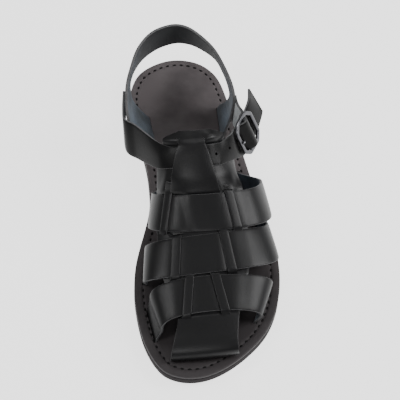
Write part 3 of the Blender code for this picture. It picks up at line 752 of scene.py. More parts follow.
@dataclass
class Sole:
    """Footbed, outsole and heel, with the stitches round the footbed's edge."""

    finishes: Finishes
    around: int = 360
    stitch_pitch: float = 5.6
    stitch_length: float = 3.0
    stitch_thick: float = 1.75
    groove_depth: float = 0.3
    tops: tuple[float, ...] = (1.0, 0.8, 0.6, 0.4, 0.2, 0.08)
    core_ends: tuple[float, float] = (32.0, 250.0)
    core_inset: float = 9.5
    groove_at_heel: float = 5.2
    groove_widens: float = 1.7
    groove_middle: float = 6.0
    edge_inset: float = 3.0
    stitch_flat: float = 0.8
    tread_below: float = 0.006
    outline: np.ndarray = field(init=False)
    inwards: np.ndarray = field(init=False)

    def __post_init__(self) -> None:
        """Works out the outline's points, evenly spaced, and their inward directions."""
        turns = [math.acos(1.0 - 2.0 * row[0] / SOLE_LENGTH) for row in SOLE_OUTLINE]
        edges = [row[1:] for row in SOLE_OUTLINE]
        medial, lateral = [], []
        for turn in np.linspace(0.0, math.pi, 400):
            low, high = through(turns, edges, turn)
            station = 0.5 * SOLE_LENGTH * (1.0 - math.cos(turn))
            medial.append((station, low))
            lateral.append((station, high))
        loop = np.array(medial + lateral[-2:0:-1])
        closed = np.vstack([loop, loop[:1]])
        runs = path_lengths(closed)
        even = np.linspace(0.0, runs[-1], self.around, endpoint=False)
        self.outline = np.stack([np.interp(even, runs, closed[:, k]) for k in (0, 1)], axis=1)
        for _ in range(2):
            self.outline = (np.roll(self.outline, 1, 0) + 2 * self.outline
                            + np.roll(self.outline, -1, 0)) / 4
        along = np.roll(self.outline, -2, 0) - np.roll(self.outline, 2, 0)
        along /= np.linalg.norm(along, axis=1, keepdims=True)
        self.inwards = np.stack([-along[:, 1], along[:, 0]], axis=1)
        middle = self.outline.mean(axis=0)
        if ((middle - self.outline) * self.inwards).sum() < 0:
            self.inwards *= -1.0

    def groove_inset(self, k: int) -> float:
        """Distance of the stitch line from the edge at an outline point."""
        return self.groove_at_heel + self.groove_widens * ease((self.outline[k][0] - 30.0) / 240.0)

    @staticmethod
    def core_across(station: float) -> float:
        """Sideways place of the sole's middle line, which swings out to the ball."""
        return 1.5 + 17.0 * ease((station - 60.0) / 140.0) - 4.0 * ease((station - 200.0) / 60.0)

    def ring_points(self, rings: list[Ring], top: Callable[[float], float],
                    bottom: Callable[[float], float], groove: bool) -> np.ndarray:
        """Places of all rings of one sole layer.

        Args:
            rings: Rings from the middle of the top, over the edge, to the bottom's middle.
            top: Height of the layer's top at a station.
            bottom: Height of its bottom at a station.
            groove: Whether the insets of the top rings follow the stitch line.

        Returns:
            Rings by outline points of places.
        """
        points = np.zeros((len(rings), self.around + 1, 3))
        for i, ring in enumerate(rings):
            for k in range(self.around + 1):
                n = k % self.around
                shift = 0.0
                if groove and ring.inset > self.edge_inset:
                    shift = self.groove_inset(n) - self.groove_middle
                station, across = self.outline[n] + self.inwards[n] * (ring.inset + shift)
                core = min(max(station, self.core_ends[0]), self.core_ends[1])
                station += (core - station) * ring.to_middle
                across += (self.core_across(core) - across) * ring.to_middle
                level = bottom(station) if ring.bottom else top(station)
                points[i, k] = spot(station, across, level + ring.up)
        return points

    def layer(self, name: str, rings: list[Ring], top: Callable[[float], float],
              bottom: Callable[[float], float], groove: bool = False) -> Object:
        """Closed layer of the sole from its rings."""
        obj = laid_grid(name, self.ring_points(rings, top, bottom, groove))
        edit_mesh(obj, WELD, OUTWARDS)
        smooth_by(obj, 50)
        return obj

    def build_footbed(self, slots: list[Object]) -> None:
        """Leather footbed with its stitch groove and the slots of the straps."""
        rings = [Ring(self.core_inset, 0.0, to_middle=share) for share in self.tops]
        rings += [Ring(inset, -self.groove_depth * share) for inset, share in (
            (9.0, 0.0), (7.3, 0.0), (6.8, 0.4), (6.4, 0.95), (6.0, 1.0), (5.6, 0.95),
            (5.2, 0.4), (4.7, 0.0))]
        rings += [Ring(*ring) for ring in (
            (3.2, 0.0), (1.4, 0.0), (0.7, -0.08), (0.25, -0.3), (0.0, -0.75), (0.0, -1.8),
            (0.0, 0.9, True), (0.15, 0.3, True), (0.5, 0.0, True), (3.0, 0.0, True))]
        rings += [Ring(self.core_inset, 0.0, True, share) for share in (0.0, 0.5, 1.0)]
        obj = self.layer("footbed", rings, footbed_height,
                         lambda s: footbed_height(s) - FOOTBED_LEATHER, groove=True)
        obj.data.materials.append(self.finishes.footbed)
        for cutter in slots:
            subtract(obj, cutter)
        smooth_by(obj, 40)
        place_piece(obj, Slot.FOOTBED, "insole")

    def build_outsole(self) -> None:
        """Rubber outsole with rounded edges and a ribbed tread."""
        rings = [Ring(self.core_inset, 0.0, to_middle=share) for share in (1.0, 0.5, 0.0)]
        rings += [Ring(*ring) for ring in (
            (3.0, 0.0), (0.5, 0.0), (0.12, -0.15), (0.0, -0.5), (0.0, -2.5), (0.0, -4.5),
            (0.0, 1.2, True), (0.2, 0.6, True), (0.6, 0.2, True), (1.2, 0.0, True),
            (3.0, 0.0, True))]
        rings += [Ring(self.core_inset, 0.0, True, share) for share in (0.0, 0.25, 0.5, 0.75, 1.0)]
        obj = self.layer("outsole_rubber", rings, outsole_top, outsole_bottom)
        obj.data.materials.append(self.finishes.rubber)
        obj.data.materials.append(self.finishes.tread)
        for face in obj.data.polygons:
            if face.normal.z < -0.8 and face.center.z < self.tread_below:
                face.material_index = 1
        place_piece(obj, Slot.RUBBER, "outsole")

    def build_stitches(self) -> None:
        """Thread stitches that lie in the footbed's groove."""
        pattern = primitive(bpy.ops.mesh.primitive_uv_sphere_add, "stitch", segments=8,
                            ring_count=6, radius=0.5)
        shape = point_places(pattern)
        faces = [tuple(p.vertices) for p in pattern.data.polygons]
        line = np.array([spot(*(self.outline[k] + self.inwards[k] * self.groove_inset(k)), 0.0)
                         for k in range(self.around)])
        closed = np.vstack([line, line[:1]])[:, :2]
        runs = path_lengths(closed)

        def place(at: float) -> np.ndarray:
            """Place on the stitch line."""
            return np.array([np.interp(at, runs, closed[:, k]) for k in (0, 1)])

        count = int(round(runs[-1] / self.stitch_pitch))
        verts, quads = [], []
        for number in range(count):
            at = runs[-1] * (number + 0.5) / count
            here, ahead = place(at), place(min(at + 1.0, runs[-1]))
            run = (ahead - here) / max(np.linalg.norm(ahead - here), 1e-9)
            side = np.array([-run[1], run[0]])
            level = footbed_height(MID_STATION - here[1]) - self.groove_depth
            start = len(verts)
            for x, y, z in shape:
                flat = here + run * x * self.stitch_length + side * y * self.stitch_thick
                up = level + z * self.stitch_thick * self.stitch_flat
                verts.append((flat[0] * MM, flat[1] * MM, up * MM))
            quads += [tuple(start + v for v in face) for face in faces]
        mesh = bpy.data.meshes.new("footbed_stitches")
        mesh.from_pydata(verts, [], quads)
        bpy.data.objects.remove(pattern, do_unlink=True)
        obj = bpy.data.objects.new("footbed_stitches", mesh)
        bpy.context.scene.collection.objects.link(obj)
        mesh.materials.append(self.finishes.thread)
        only(obj)
        bpy.ops.object.shade_smooth()
        place_piece(obj, Slot.FOOTBED)

    def build(self, slots: list[Object]) -> None:
        """Builds and dresses all layers of the sole."""
        self.build_footbed(slots)
        self.build_outsole()
        self.build_stitches()
        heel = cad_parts["heel"]
        heel.data.materials.clear()
        heel.data.materials.append(self.finishes.rubber)


# ---------------------------------------------------------------- upper


def slot_cutter(line: np.ndarray, half: float, spread: float) -> Object:
    """Cutter for a slot of the footbed that follows a strap's root line."""
    grid = np.array([line + (0, 0, level) for level in SLOT_LEVELS])
    for edge, inner in ((0, 1), (-1, -2)):
        step = grid[:, edge] - grid[:, inner]
        grid[:, edge] += spread * step / np.linalg.norm(step, axis=1, keepdims=True)
    obj = laid_grid("slot_cutter", grid)
    apply_modifier(obj, "SOLIDIFY", thickness=2 * half * MM, offset=0.0)
    edit_mesh(obj, OUTWARDS)
    return obj


@dataclass(frozen=True)
class Dent:
    """A soft trough across a strap; a negative depth makes it a ridge."""

    strap: str
    rear: float
    front: float
    depth: float
    reach: float


@dataclass(frozen=True)
class Fold:
    """A soft ridge, or a trough where its height is below zero, on the tongue.

    Its turn is the angle away from the tongue's length, in radians, and its length
    and width are in rows, a row being about 9 mm.
    """

    row: float
    across: float
    turn: float
    height: float
    length: float
    width: float


@dataclass
class Upper:
    """Tongue, three cross straps and six raised strips, woven into one upper.

    Lifts, sinks and crowns are in millimetres. Starts, runs and the other places along
    the tongue are in rows of its table. The strips' past and climb are shares of the
    strap's width.
    """

    finishes: Finishes
    strap_lift: float = 2.5
    strip_lift: float = 1.7
    strap_sink: float = 0.7
    dip_start: float = 10.9
    dip_run: float = 1.2
    meet_start: float = 13.7
    meet_run: float = 1.0
    end_drop: float = 0.6
    surface_from: float = 3.4
    under_straps: tuple[float, float] = (4.2, 11.4)
    shaped_from: float = 6.0
    strap_crown: float = 0.28
    sink_within: float = 0.72
    sink_reach: float = 4.6
    strip_thick: float = 1.5
    strip_past: float = 0.24
    strip_climb: float = 0.13
    strip_seat: float = 0.7
    strip_crown: float = 0.2
    row_runs: tuple[tuple[float, float, int], ...] = (
        (0.0, 4.0, 28), (4.0, 10.9, 69), (10.9, 16.0, 71))
    band_steps: tuple[int, int, int] = (9, 22, 9)
    dents: tuple[Dent, ...] = (
        Dent("instep", -1.5, 3.5, 0.55, 3.2), Dent("instep", 4.5, 9.5, -0.3, 4.0),
        Dent("middle", 26.0, 29.0, -0.35, 3.0), Dent("middle", 3.0, 1.0, 0.25, 5.0),
        Dent("toe", -9.0, -6.0, -0.3, 4.5), Dent("toe", 47.0, 45.0, 0.3, 5.0),
        Dent("instep", 46.0, 52.0, 0.35, 3.4), Dent("middle", 48.0, 53.0, -0.35, 5.0),
    )
    folds: tuple[Fold, ...] = (
        Fold(11.2, 36.0, 0.5, 0.9, 0.9, 0.28), Fold(11.3, 42.0, -0.3, -0.6, 0.8, 0.3),
        Fold(11.6, -14.5, 0.2, 0.8, 0.8, 0.25), Fold(11.1, -11.5, 0.5, -0.7, 0.6, 0.22),
        Fold(15.0, 21.0, -0.7, 0.5, 0.9, 0.35), Fold(14.9, 9.0, 0.1, -0.35, 0.9, 0.5),
        Fold(9.9, 24.0, 0.2, 0.35, 0.8, 0.6),
    )
    slit_half: float = 0.3
    field_across: np.ndarray = field(init=False)
    field_stations: np.ndarray = field(init=False)
    field_heights: np.ndarray = field(init=False)

    def __post_init__(self) -> None:
        """Tabulates the tongue's surface, so that its height can be read at any place."""
        self.field_across = np.arange(-24.0, 54.1, 1.0)
        rows = np.arange(self.surface_from, len(TONGUE) - 0.99, 0.05)
        hoops = [tongue_hoop(row) for row in rows]
        table = np.array([[hoop_at(hoop, x) for hoop in hoops] for x in self.field_across])
        self.field_stations = MID_STATION - table[:, :, 1]
        self.field_heights = table[:, :, 2]

    def tongue_height(self, station: float, across: float) -> float:
        """Height of the tongue's middle surface at a place."""
        at = min(max(across - self.field_across[0], 0.0), len(self.field_across) - 1.001)
        low = int(at)
        values = [np.interp(station, self.field_stations[k][::-1], self.field_heights[k][::-1])
                  for k in (low, low + 1)]
        return values[0] + (values[1] - values[0]) * (at - low)

    def strap_clearance(self, station: float, across: float) -> Optional[float]:
        """Height of the strap over a place, or None where there is no strap."""
        best = None
        for front, rear in STRAPS.values():
            a, b = hoop_at(rear, across), hoop_at(front, across)
            start, end = MID_STATION - a[1], MID_STATION - b[1]
            share = (station - start) / (end - start)
            if -0.06 <= share <= 1.06:
                best = a[2] + (b[2] - a[2]) * share
        return best

    def thread_drop(self, row: float, wing: bool) -> float:
        """How far a band of the tongue lies under its own surface, at a row.

        The wings dip under the ankle strap, the band between the slits stays over it,
        and behind the strap all three meet again in the free end.

        Args:
            row: Row of the tongue.
            wing: Whether the band is one of the two wings.

        Returns:
            The drop in millimetres.
        """
        meet = ease((row - self.meet_start) / self.meet_run)
        if not wing:
            return THREAD_STEP * self.end_drop * meet
        dip = ease((row - self.dip_start) / self.dip_run)
        return THREAD_STEP * (2.0 * dip - (2.0 - self.end_drop) * meet)

    def tongue_normal(self, row: float, across: float) -> np.ndarray:
        """Upward unit normal of the tongue's surface."""
        low, high = max(row - 0.1, 0.0), min(row + 0.1, len(TONGUE) - 1.0)
        along = hoop_at(tongue_hoop(high), across) - hoop_at(tongue_hoop(low), across)
        hoop = tongue_hoop(row)
        side = hoop_at(hoop, across + 0.5) - hoop_at(hoop, across - 0.5)
        normal = np.cross(side, along)
        return normal * np.sign(normal[2]) / np.linalg.norm(normal)

    def creases(self, row: float, across: float) -> float:
        """Height of the folds placed near the slits and on the wings."""
        height = 0.0
        for fold in self.folds:
            shift_row, shift_across = row - fold.row, across - fold.across
            cos, sin = math.cos(fold.turn), math.sin(fold.turn)
            along = shift_row * cos + shift_across * sin / ROW_LENGTH
            aside = shift_across * cos / ROW_LENGTH - shift_row * sin
            height += fold.height * bump_shape(along, fold.length) * bump_shape(aside, fold.width)
        return height

    def tongue_band(self, rows: np.ndarray, first: int, steps: int) -> np.ndarray:
        """Middle surface of one of the tongue's three bands."""
        grid = np.zeros((len(rows), steps + 1, 3))
        for i, row in enumerate(rows):
            rails = tongue_rails(row)
            low, high = rails[first], rails[first + 1]
            apart = self.thread_drop(row, True) - self.thread_drop(row, False)
            open_by = self.slit_half * min(1.0, max(0.0, apart) * 1.2)
            low += open_by if first > 0 else 0.0
            high -= open_by if first < 2 else 0.0
            hoop = tongue_hoop(row)
            for k in range(steps + 1):
                across = low + (high - low) * k / steps
                point = hoop_at(hoop, across)
                if self.under_straps[0] < row < self.under_straps[1]:
                    over = self.strap_clearance(MID_STATION - point[1], point[0] + MID_ACROSS)
                    if over is not None:
                        point[2] = min(point[2], over - self.strap_lift)
                lift = self.creases(row, across) - self.thread_drop(row, first != 1)
                if row > self.shaped_from:
                    point = point + self.tongue_normal(row, across) * lift
                grid[i, k] = point
        return grid

    def build_tongue(self) -> None:
        """The tongue as one sheet with two slits, from the toe slot to its free end."""
        rows = np.concatenate([np.linspace(start, end, count, endpoint=False)
                               for start, end, count in self.row_runs])
        rows = np.append(rows, self.row_runs[-1][1])
        bands = [laid_grid(f"tongue_band_{k}", self.tongue_band(rows, k, steps))
                 for k, steps in enumerate(self.band_steps)]
        for band in bands:
            face_outwards(band, lambda p: Vector((0.0, -0.35, 1.0)))
        obj = bands[1]
        join_to(obj, bands[0], bands[2])
        obj.name = "tongue"
        edit_mesh(obj, WELD)
        give_leather(obj, self.finishes, thickness=THIN_LEATHER, round_by=0.45)
        place_piece(obj, Slot.LEATHER, "upper")

    def strap_points(self, strap: str, turns: int = 121, widths: int = 15) -> np.ndarray:
        """Middle surface of a cross strap; it sinks a little under each raised strip."""
        front, rear = STRAPS[strap]
        strips = [s for s in STRIPS if s.strap == strap]
        grid = np.array([across_band((hoop_point(rear, turn), hoop_point(front, turn)), widths)
                         for turn in np.linspace(-1.0, 1.0, turns)])
        normals = surface_normals(grid)
        normals *= np.sign(np.sum(normals * (grid - spot(150, 19, 10)), axis=2, keepdims=True))
        for i in range(turns):
            for k in range(widths):
                share = k / (widths - 1)
                across = grid[i, k, 0] + MID_ACROSS
                turn = -1.0 + 2.0 * i / (turns - 1)
                sink = 0.0
                if abs(turn) < self.sink_within:
                    for strip in strips:
                        middle = strip.rear + (strip.front - strip.rear) * share
                        sink = max(sink, bump_shape(across - middle, self.sink_reach))
                rise = -self.strap_crown * (2.0 * share - 1.0) ** 4 - self.strap_sink * sink
                for dent in self.dents:
                    if dent.strap == strap:
                        middle = dent.rear + (dent.front - dent.rear) * share
                        rise -= dent.depth * bump_shape(across - middle, dent.reach)
                grid[i, k] += normals[i, k] * rise
        return with_roots(grid)

    def build_strap(self, strap: str) -> None:
        """One cross strap, its ends standing in the footbed's slots."""
        centre = Vector(spot(150, 19, 15))
        obj = leather_sheet(
            f"{strap}_strap", self.strap_points(strap),
            lambda p: Vector((p[0] - centre[0], 0.0, p[2] - centre[2])), self.finishes)
        place_piece(obj, Slot.LEATHER, "upper")

    def strip_points(self, strip: StripPlace, lengths: int = 41, widths: int = 9) -> np.ndarray:
        """Middle surface of a raised strip, from the tongue over the strap and back."""
        front, rear = STRAPS[strip.strap]
        grid = np.zeros((lengths, widths, 3))
        for i, share in enumerate(np.linspace(-self.strip_past, 1 + self.strip_past, lengths)):
            middle = strip.rear + (strip.front - strip.rear) * share
            climb = self.strip_climb
            over = ease((share + climb) / climb) * ease((1 + climb - share) / climb)
            for k in range(widths):
                side = 2.0 * k / (widths - 1) - 1.0
                across = middle + 0.5 * side * strip.width
                a, b = hoop_at(rear, across), hoop_at(front, across)
                point = a + (b - a) * share
                held = min(max(share, 0.0), 1.0)
                on_strap = (a + (b - a) * held)[2] + (b[2] - a[2]) * (share - held)
                on_tongue = self.tongue_height(MID_STATION - point[1], across) - self.strip_seat
                lift = self.strip_lift - self.strap_sink + self.strip_crown * (1.0 - side ** 4)
                point[2] = on_tongue + (on_strap + lift - on_tongue) * over
                grid[i, k] = point
        return grid

    def build_strip(self, number: int, strip: StripPlace) -> None:
        """One raised strip of the tongue."""
        obj = leather_sheet(
            f"strip_{number + 1}", self.strip_points(strip),
            lambda p: Vector((0.0, -0.3, 1.0)), self.finishes,
            thickness=self.strip_thick, round_by=0.4)
        place_piece(obj, Slot.LEATHER, "upper")

    def slots(self) -> list[Object]:
        """Cutters for the slots that the straps and the tongue stand in."""
        cutters = []
        for front, rear in STRAPS.values():
            for turn in (-1.0, 1.0):
                line = across_band((hoop_point(rear, turn), hoop_point(front, turn)), 4)
                cutters.append(slot_cutter(line, STRAP_LEATHER / 2 + SLOT_ROOM, SLOT_ROOM))
        seat = tongue_hoop(1.0)
        low, high = TONGUE[1].edge_in, TONGUE[1].edge_out
        line = np.array([hoop_at(seat, low + (high - low) * k / 6) for k in range(7)])
        line[:, 2] = [footbed_height(MID_STATION - y) for y in line[:, 1]]
        cutters.append(slot_cutter(line, STRAP_LEATHER / 2 + 0.9, 0.4))
        return cutters

    def build(self) -> None:
        """Builds the tongue, the straps and the strips."""
        self.build_tongue()
        for strap in STRAPS:
            self.build_strap(strap)
        for number, strip in enumerate(STRIPS):
            self.build_strip(number, strip)


# ---------------------------------------------------------------- heel band


@dataclass
class HeelBand:
    """Band round the heel in one piece with its two legs."""

    finishes: Finishes
    steps: int = 170
    widths: int = 13

    def points(self) -> np.ndarray:
        """Middle surface of the band, its legs reaching down into the footbed."""
        pairs = edge_pairs(HEEL_BAND)
        last = len(pairs) - 1
        return with_roots(np.array([
            across_band(through(range(last + 1), pairs, last * i / self.steps), self.widths)
            for i in range(self.steps + 1)]))

    def slots(self) -> list[Object]:
        """Cutters for the two slots of the legs."""
        pairs = edge_pairs(HEEL_BAND)
        return [slot_cutter(across_band(pair, 4), STRAP_LEATHER / 2 + SLOT_ROOM, SLOT_ROOM)
                for pair in (pairs[0], pairs[-1])]

    def build(self) -> None:
        """Builds and dresses the band."""
        centre = Vector(spot(60, 0, 0))
        obj = leather_sheet(
            "heel_band", self.points(),
            lambda p: Vector((p[0] - centre[0], p[1] - centre[1], 0.0)), self.finishes)
        place_piece(obj, Slot.LEATHER, "heel_strap")


# ---------------------------------------------------------------- ankle strap


@dataclass
class Buckle:
    """The buckle's place and sizes in millimetres, with its frame, prong and chape.

    The chape's path gives places along the strap and outwards; the prong's path adds
    its radius.
    """

    finishes: Finishes
    middle_at: Place = (102.1, 50.2, 65.0)
    along_by: Place = (-0.88, 0.42, -0.1)
    across_by: Place = (0.2, 0.42, -0.88)
    length: float = 27.5
    width: float = 32.0
    corner: float = 6.5
    bar: float = 3.2
    thick: float = 2.4
    centre_bar: float = 2.2
    corner_round: float = 0.9
    bar_power: float = 3.5
    ring_radius: float = 2.0
    chape_width: float = 20.0
    chape_path: tuple[tuple[float, float], ...] = (
        (12.0, -6.1), (8.2, -6.0), (4.6, -4.2), (1.4, -2.8), (-1.4, -2.6))
    prong_path: tuple[Place, ...] = (
        (-0.4, -1.4, 0.8), (-3.2, -2.6, 0.9), (-5.6, -3.0, 0.9), (-7.4, -2.0, 0.9),
        (-8.8, 0.4, 0.95), (-10.4, 2.0, 0.95), (-12.8, 1.9, 0.7))

    def axes(self) -> tuple[np.ndarray, np.ndarray, np.ndarray]:
        """Unit directions along the strap, across it and outwards."""
        along = np.array([self.along_by[1], -self.along_by[0], self.along_by[2]])
        across = np.array([self.across_by[1], -self.across_by[0], self.across_by[2]])
        along /= np.linalg.norm(along)
        across -= along * np.dot(along, across)
        across /= np.linalg.norm(across)
        return along, across, -np.cross(along, across)

    def point(self, along_at: float, across_at: float, out_at: float) -> np.ndarray:
        """Place given in the buckle's own directions."""
        along, across, out = self.axes()
        return spot(*self.middle_at) + along * along_at + across * across_at + out * out_at

    def frame_line(self, turn: float) -> Pair:
        """Middle of the frame's bar and its outward direction at a turn round the frame."""
        x = self.length / 2 - self.bar / 2
        y = self.width / 2 - self.bar / 2
        cut = self.corner - self.corner_round
        corners = np.array([(x - cut, y), (x, y - cut), (x, cut - y), (x - cut, -y),
                            (cut - x, -y), (-x, cut - y), (-x, y - cut), (cut - x, y)])
        closed = np.vstack([corners, corners[:1]])
        runs = path_lengths(closed)
        shifts = np.linspace(-self.corner_round, self.corner_round, 7)
        at = (turn * runs[-1] + shifts) % runs[-1]
        samples = np.stack([np.interp(at, runs, closed[:, k]) for k in (0, 1)], axis=1)
        here = samples.mean(axis=0)
        along = samples[-1] - samples[0]
        along /= np.linalg.norm(along)
        out = np.array([along[1], -along[0]])
        if np.dot(out, here) < 0:
            out = -out
        return here, out

    def build_frame(self) -> None:
        """Frame with cut corners and softened edges, and its centre bar."""
        obj = primitive(bpy.ops.mesh.primitive_torus_add, "buckle_frame_cast",
                        major_segments=144, minor_segments=20,
                        major_radius=self.ring_radius, minor_radius=0.5)
        bar = primitive(bpy.ops.mesh.primitive_cylinder_add, "centre_bar", vertices=20,
                        radius=1.0, depth=2.0)

        def on_frame(x: float, y: float, z: float) -> np.ndarray:
            """Place on the frame for a place on the torus."""
            here, out = self.frame_line((math.atan2(y, x) / (2 * math.pi)) % 1.0)
            around_bar = math.atan2(z, math.hypot(x, y) - self.ring_radius)
            c, s = math.cos(around_bar), math.sin(around_bar)
            reach = (abs(c) ** self.bar_power + abs(s) ** self.bar_power) ** (-1 / self.bar_power)
            flat = here + out * c * reach * self.bar / 2
            return self.point(flat[0], flat[1], s * reach * self.thick / 2)

        def on_bar(x: float, y: float, z: float) -> np.ndarray:
            """Place on the centre bar for a place on the cylinder."""
            radius = self.centre_bar / 2
            return self.point(x * radius, z * (self.width / 2 - self.bar / 2), y * radius)

        reshape(obj, on_frame)
        reshape(bar, on_bar)
        for piece in (obj, bar):
            edit_mesh(piece, OUTWARDS)
        join_to(obj, bar)
        obj.matrix_world = Matrix.Identity(4)
        obj.data.materials.clear()
        obj.data.materials.append(self.finishes.metal)
        smooth_by(obj, 35)
        place_piece(obj, Slot.METAL, "buckle_frame")

    def build_prong(self) -> None:
        """Prong from the centre bar over the front bar, with a rounded tip."""
        obj = primitive(bpy.ops.mesh.primitive_uv_sphere_add, "buckle_prong_rod", segments=18,
                        ring_count=40, radius=1.0)
        steps = np.array(self.prong_path)
        runs = list(path_lengths(steps[:, :2]))

        def rounded(distance: float, reach: float) -> float:
            """Share of the radius near a rounded end."""
            return math.sqrt(max(0.0, 1 - max(0.0, 1.0 - distance / reach) ** 2))

        def on_prong(x: float, y: float, z: float) -> np.ndarray:
            """Place on the prong for a place on the sphere."""
            at = runs[-1] * math.acos(max(-1.0, min(1.0, z))) / math.pi
            along, out, radius = through(runs, steps, at)
            ahead = through(runs, steps, min(at + 0.2, runs[-1]))
            behind = through(runs, steps, max(at - 0.2, 0.0))
            run, rise = (ahead - behind)[:2] / np.linalg.norm((ahead - behind)[:2])
            radius *= min(1.0, rounded(at, 0.8), rounded(runs[-1] - at, 0.9))
            turn = math.atan2(y, x)
            lift = radius * math.cos(turn)
            return self.point(along - rise * lift, radius * math.sin(turn), out + run * lift)

        reshape(obj, on_prong)
        edit_mesh(obj, OUTWARDS)
        obj.data.materials.append(self.finishes.metal)
        bpy.ops.object.shade_smooth()
        place_piece(obj, Slot.METAL, "buckle_prong")

    def edges(self, path: Iterable[tuple[float, float]],
              width: float) -> list[Pair]:
        """Edge places of a band that follows a path through the buckle."""
        return [(self.point(a, -width / 2, b), self.point(a, width / 2, b)) for a, b in path]

    def build_chape(self) -> None:
        """Short strap from the quarter to the buckle's centre bar."""
        pairs = edge_pairs(CHAPE_QUARTER) + self.edges(self.chape_path, self.chape_width)
        grid = smooth_rows([across_band(pair, 9) for pair in pairs], 7)
        out = Vector(self.axes()[2])
        obj = leather_sheet("buckle_chape_strap", grid, lambda p: out, self.finishes)
        # The chape's flesh side takes the pale copy of the flesh: a painted highlight
        obj.data.materials[1] = self.finishes.highlight_flesh
        place_piece(obj, Slot.LEATHER, "buckle_chape")

    def build(self) -> None:
        """Builds the frame, the prong and the chape."""
        self.build_frame()
        self.build_prong()
        self.build_chape()


@dataclass
class AnkleStrap:
    """Strap sewn to the medial quarter, woven through the tongue and the buckle.

    The rear and front row are where it passes under the tongue, and its path goes
    through the buckle, over the centre bar, as places along it and outwards.
    """

    finishes: Finishes
    buckle: Buckle
    width: float = 24.8
    rear_row: float = 13.8
    front_row: float = 12.4
    path: tuple[tuple[float, float], ...] = (
        (-12.5, -3.1), (-8.4, -3.2), (-4.7, -0.1), (-1.5, 2.8), (1.5, 2.8), (4.7, -0.1),
        (8.4, -3.2), (12.0, -3.2))
    rear_skew: float = 0.55
    hole_radius: float = 1.15
    punch_length: float = 9.0
    prong_hole: Place = (-7.8, 0.0, -2.5)
    spare_hole: Place = (2.8, -4.2, 2.3)
    spare_lift: float = 4.2
    holes: tuple[Place, ...] = (
        (129.8, 24.0, 76.0), (121.3, 35.3, 72.0), (111.5, 46.9, 66.0))

    def points(self, widths: int = 11) -> np.ndarray:
        """Middle surface of the strap, from its sewn end to its free tip."""
        rows = [across_band(pair, widths) for pair in edge_pairs(ANKLE_MEDIAL)]
        under = np.array([[hoop_at(tongue_hoop(row), across) for row in np.linspace(
            self.rear_row + self.rear_skew * ease((-8.0 - across) / 11.0), self.front_row, widths)]
                          for across in ANKLE_ACROSS])
        normals = surface_normals(under)
        rows += list(under - normals * np.sign(normals[:, :, 2:3]) * THREAD_STEP)
        pairs = (edge_pairs([ANKLE_LATERAL]) + self.buckle.edges(self.path, self.width)
                 + edge_pairs(ANKLE_FREE))
        rows += [across_band(pair, widths) for pair in pairs]
        return smooth_rows(rows, 8)

    def punch(self, obj: Object, grid: np.ndarray) -> None:
        """Punches the row of holes, the prong's opening and a spare hole's dent."""
        normals = surface_normals(grid)
        flat, ways = grid.reshape(-1, 3), normals.reshape(-1, 3)
        cutters = []
        for hole in self.holes:
            target = spot(*hole)
            k = int(np.argmin(np.linalg.norm(flat - target, axis=1)))
            cutters.append((flat[k], ways[k], 1.0))
        along, _, out = self.buckle.axes()
        cutters.append((self.buckle.point(*self.prong_hole), 0.75 * out - 0.65 * along, 1.1))
        spare = 0.9 * out + 0.4 * along
        cutters.append((self.buckle.point(*self.spare_hole) + self.spare_lift * spare, spare, 1.0))
        for place, way, stretch in cutters:
            punch = primitive(bpy.ops.mesh.primitive_cylinder_add, "punch", vertices=20,
                              radius=self.hole_radius * MM, depth=self.punch_length * MM)
            turn = Vector(way).to_track_quat("Z", "X").to_matrix().to_4x4()
            punch.matrix_world = Matrix.Translation(Vector(place) * MM) @ turn @ Matrix.Diagonal(
                (stretch, 1.0, 1.0, 1.0))
            bpy.context.view_layer.update()
            subtract(obj, punch)

    def build(self) -> None:
        """Builds, punches and dresses the strap."""
        grid = self.points()
        centre = Vector(spot(100, 0, 30))
        obj = leather_sheet("ankle_strap_leather", grid, lambda p: Vector(p) - centre,
                            self.finishes, thickness=THIN_LEATHER, round_by=0.45)
        # The ankle strap takes the darker, less glossy copy of the cowhide: painted shade
        obj.data.materials[0] = self.finishes.shaded_grain
        self.punch(obj, grid)
        smooth_by(obj, 40)
        place_piece(obj, Slot.LEATHER, "ankle_strap")


# ---------------------------------------------------------------- studio


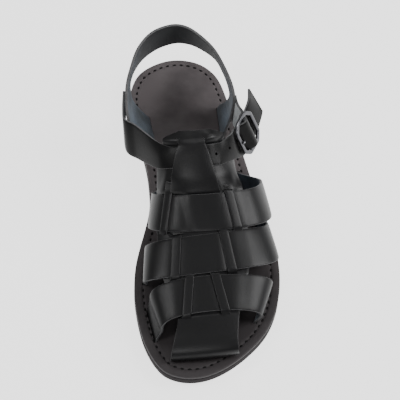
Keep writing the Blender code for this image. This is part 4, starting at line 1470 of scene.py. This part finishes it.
@dataclass
class Studio:
    """Pale floor, soft lights and the camera."""

    distance: float = 1.5
    elevation: float = 58.0
    lens: float = 171.97
    aim: Place = (-0.0005, 0.0016, 0.03)
    stand: tuple[float, float] = (-0.05925, 0.0204)
    floor_glow: float = 2.0
    room_light: float = 0.2

    def build_floor(self) -> None:
        """Seamless pale floor."""
        floor = primitive(bpy.ops.mesh.primitive_plane_add, "studio_floor", size=8.0)
        paper = Shading("matt_white_paper", {
            "Base Color": linear("#8c8c8c"), "Roughness": 0.9,
            "Emission Color": linear("#ffffff"), "Emission Strength": self.floor_glow})
        floor.data.materials.append(paper.material)

    def build_lights(self) -> None:
        """Soft boxes on both sides, behind, above and in front, and a bright room."""
        world = bpy.data.worlds.new("bright_room")
        bpy.context.scene.world = world
        world.use_nodes = True
        back = world.node_tree.nodes["Background"]
        back.inputs["Color"].default_value = linear("#ffffff")
        back.inputs["Strength"].default_value = self.room_light
        boxes = (
            ("box_left", (-1.2, -0.2, 1.5), 0.4, 0.8, 17.0),
            ("box_right", (1.4, 0.0, 1.2), 0.9, 1.1, 42.0),
            ("box_top", (0.1, 1.1, 1.5), 1.2, 0.6, 10.0),
            ("box_over", (0.0, -0.15, 1.9), 0.7, 0.5, 1.6),
            ("box_front", (-0.25, -1.3, 1.3), 0.8, 0.6, 12.0),
        )
        for name, place, wide, high, power in boxes:
            data = bpy.data.lights.new(name, "AREA")
            data.shape = "RECTANGLE"
            data.size, data.size_y = wide, high
            data.energy = power
            light = bpy.data.objects.new(name, data)
            bpy.context.scene.collection.objects.link(light)
            light.location = place
            light.rotation_euler = (-Vector(place)).to_track_quat("-Z", "Y").to_euler()

    def build_camera(self) -> None:
        """Camera in front of the toe, looking down at the sandal."""
        tilt = math.radians(self.elevation)
        cos, sin = math.cos(tilt), math.sin(tilt)
        place = Vector((self.stand[0], self.stand[1] - self.distance * cos,
                        self.distance * sin))
        look = (Vector(self.aim) - place).normalized()
        turn = Vector((0, cos, -sin)).rotation_difference(look)
        upright = Matrix(((1, 0, 0), (0, sin, cos), (0, -cos, sin))).transposed()
        data = bpy.data.cameras.new("camera")
        data.lens = self.lens
        data.sensor_width = 36.0
        data.clip_end = 20.0
        camera = bpy.data.objects.new("camera", data)
        bpy.context.scene.collection.objects.link(camera)
        camera.matrix_world = Matrix.Translation(place) @ (turn.to_matrix() @ upright).to_4x4()
        bpy.context.scene.camera = camera

    def build(self) -> None:
        """Builds the whole studio."""
        self.build_floor()
        self.build_lights()
        self.build_camera()


def main() -> None:
    """Builds the sandal piece by piece, then the studio round it."""
    logging.basicConfig(level=logging.INFO, format="%(name)s %(message)s")
    finishes = Finishes()
    Studio().build()
    upper = Upper(finishes)
    band = HeelBand(finishes)
    Sole(finishes).build(upper.slots() + band.slots())
    upper.build()
    band.build()
    buckle = Buckle(finishes)
    AnkleStrap(finishes, buckle).build()
    buckle.build()


if __name__ == "__main__":
    main()
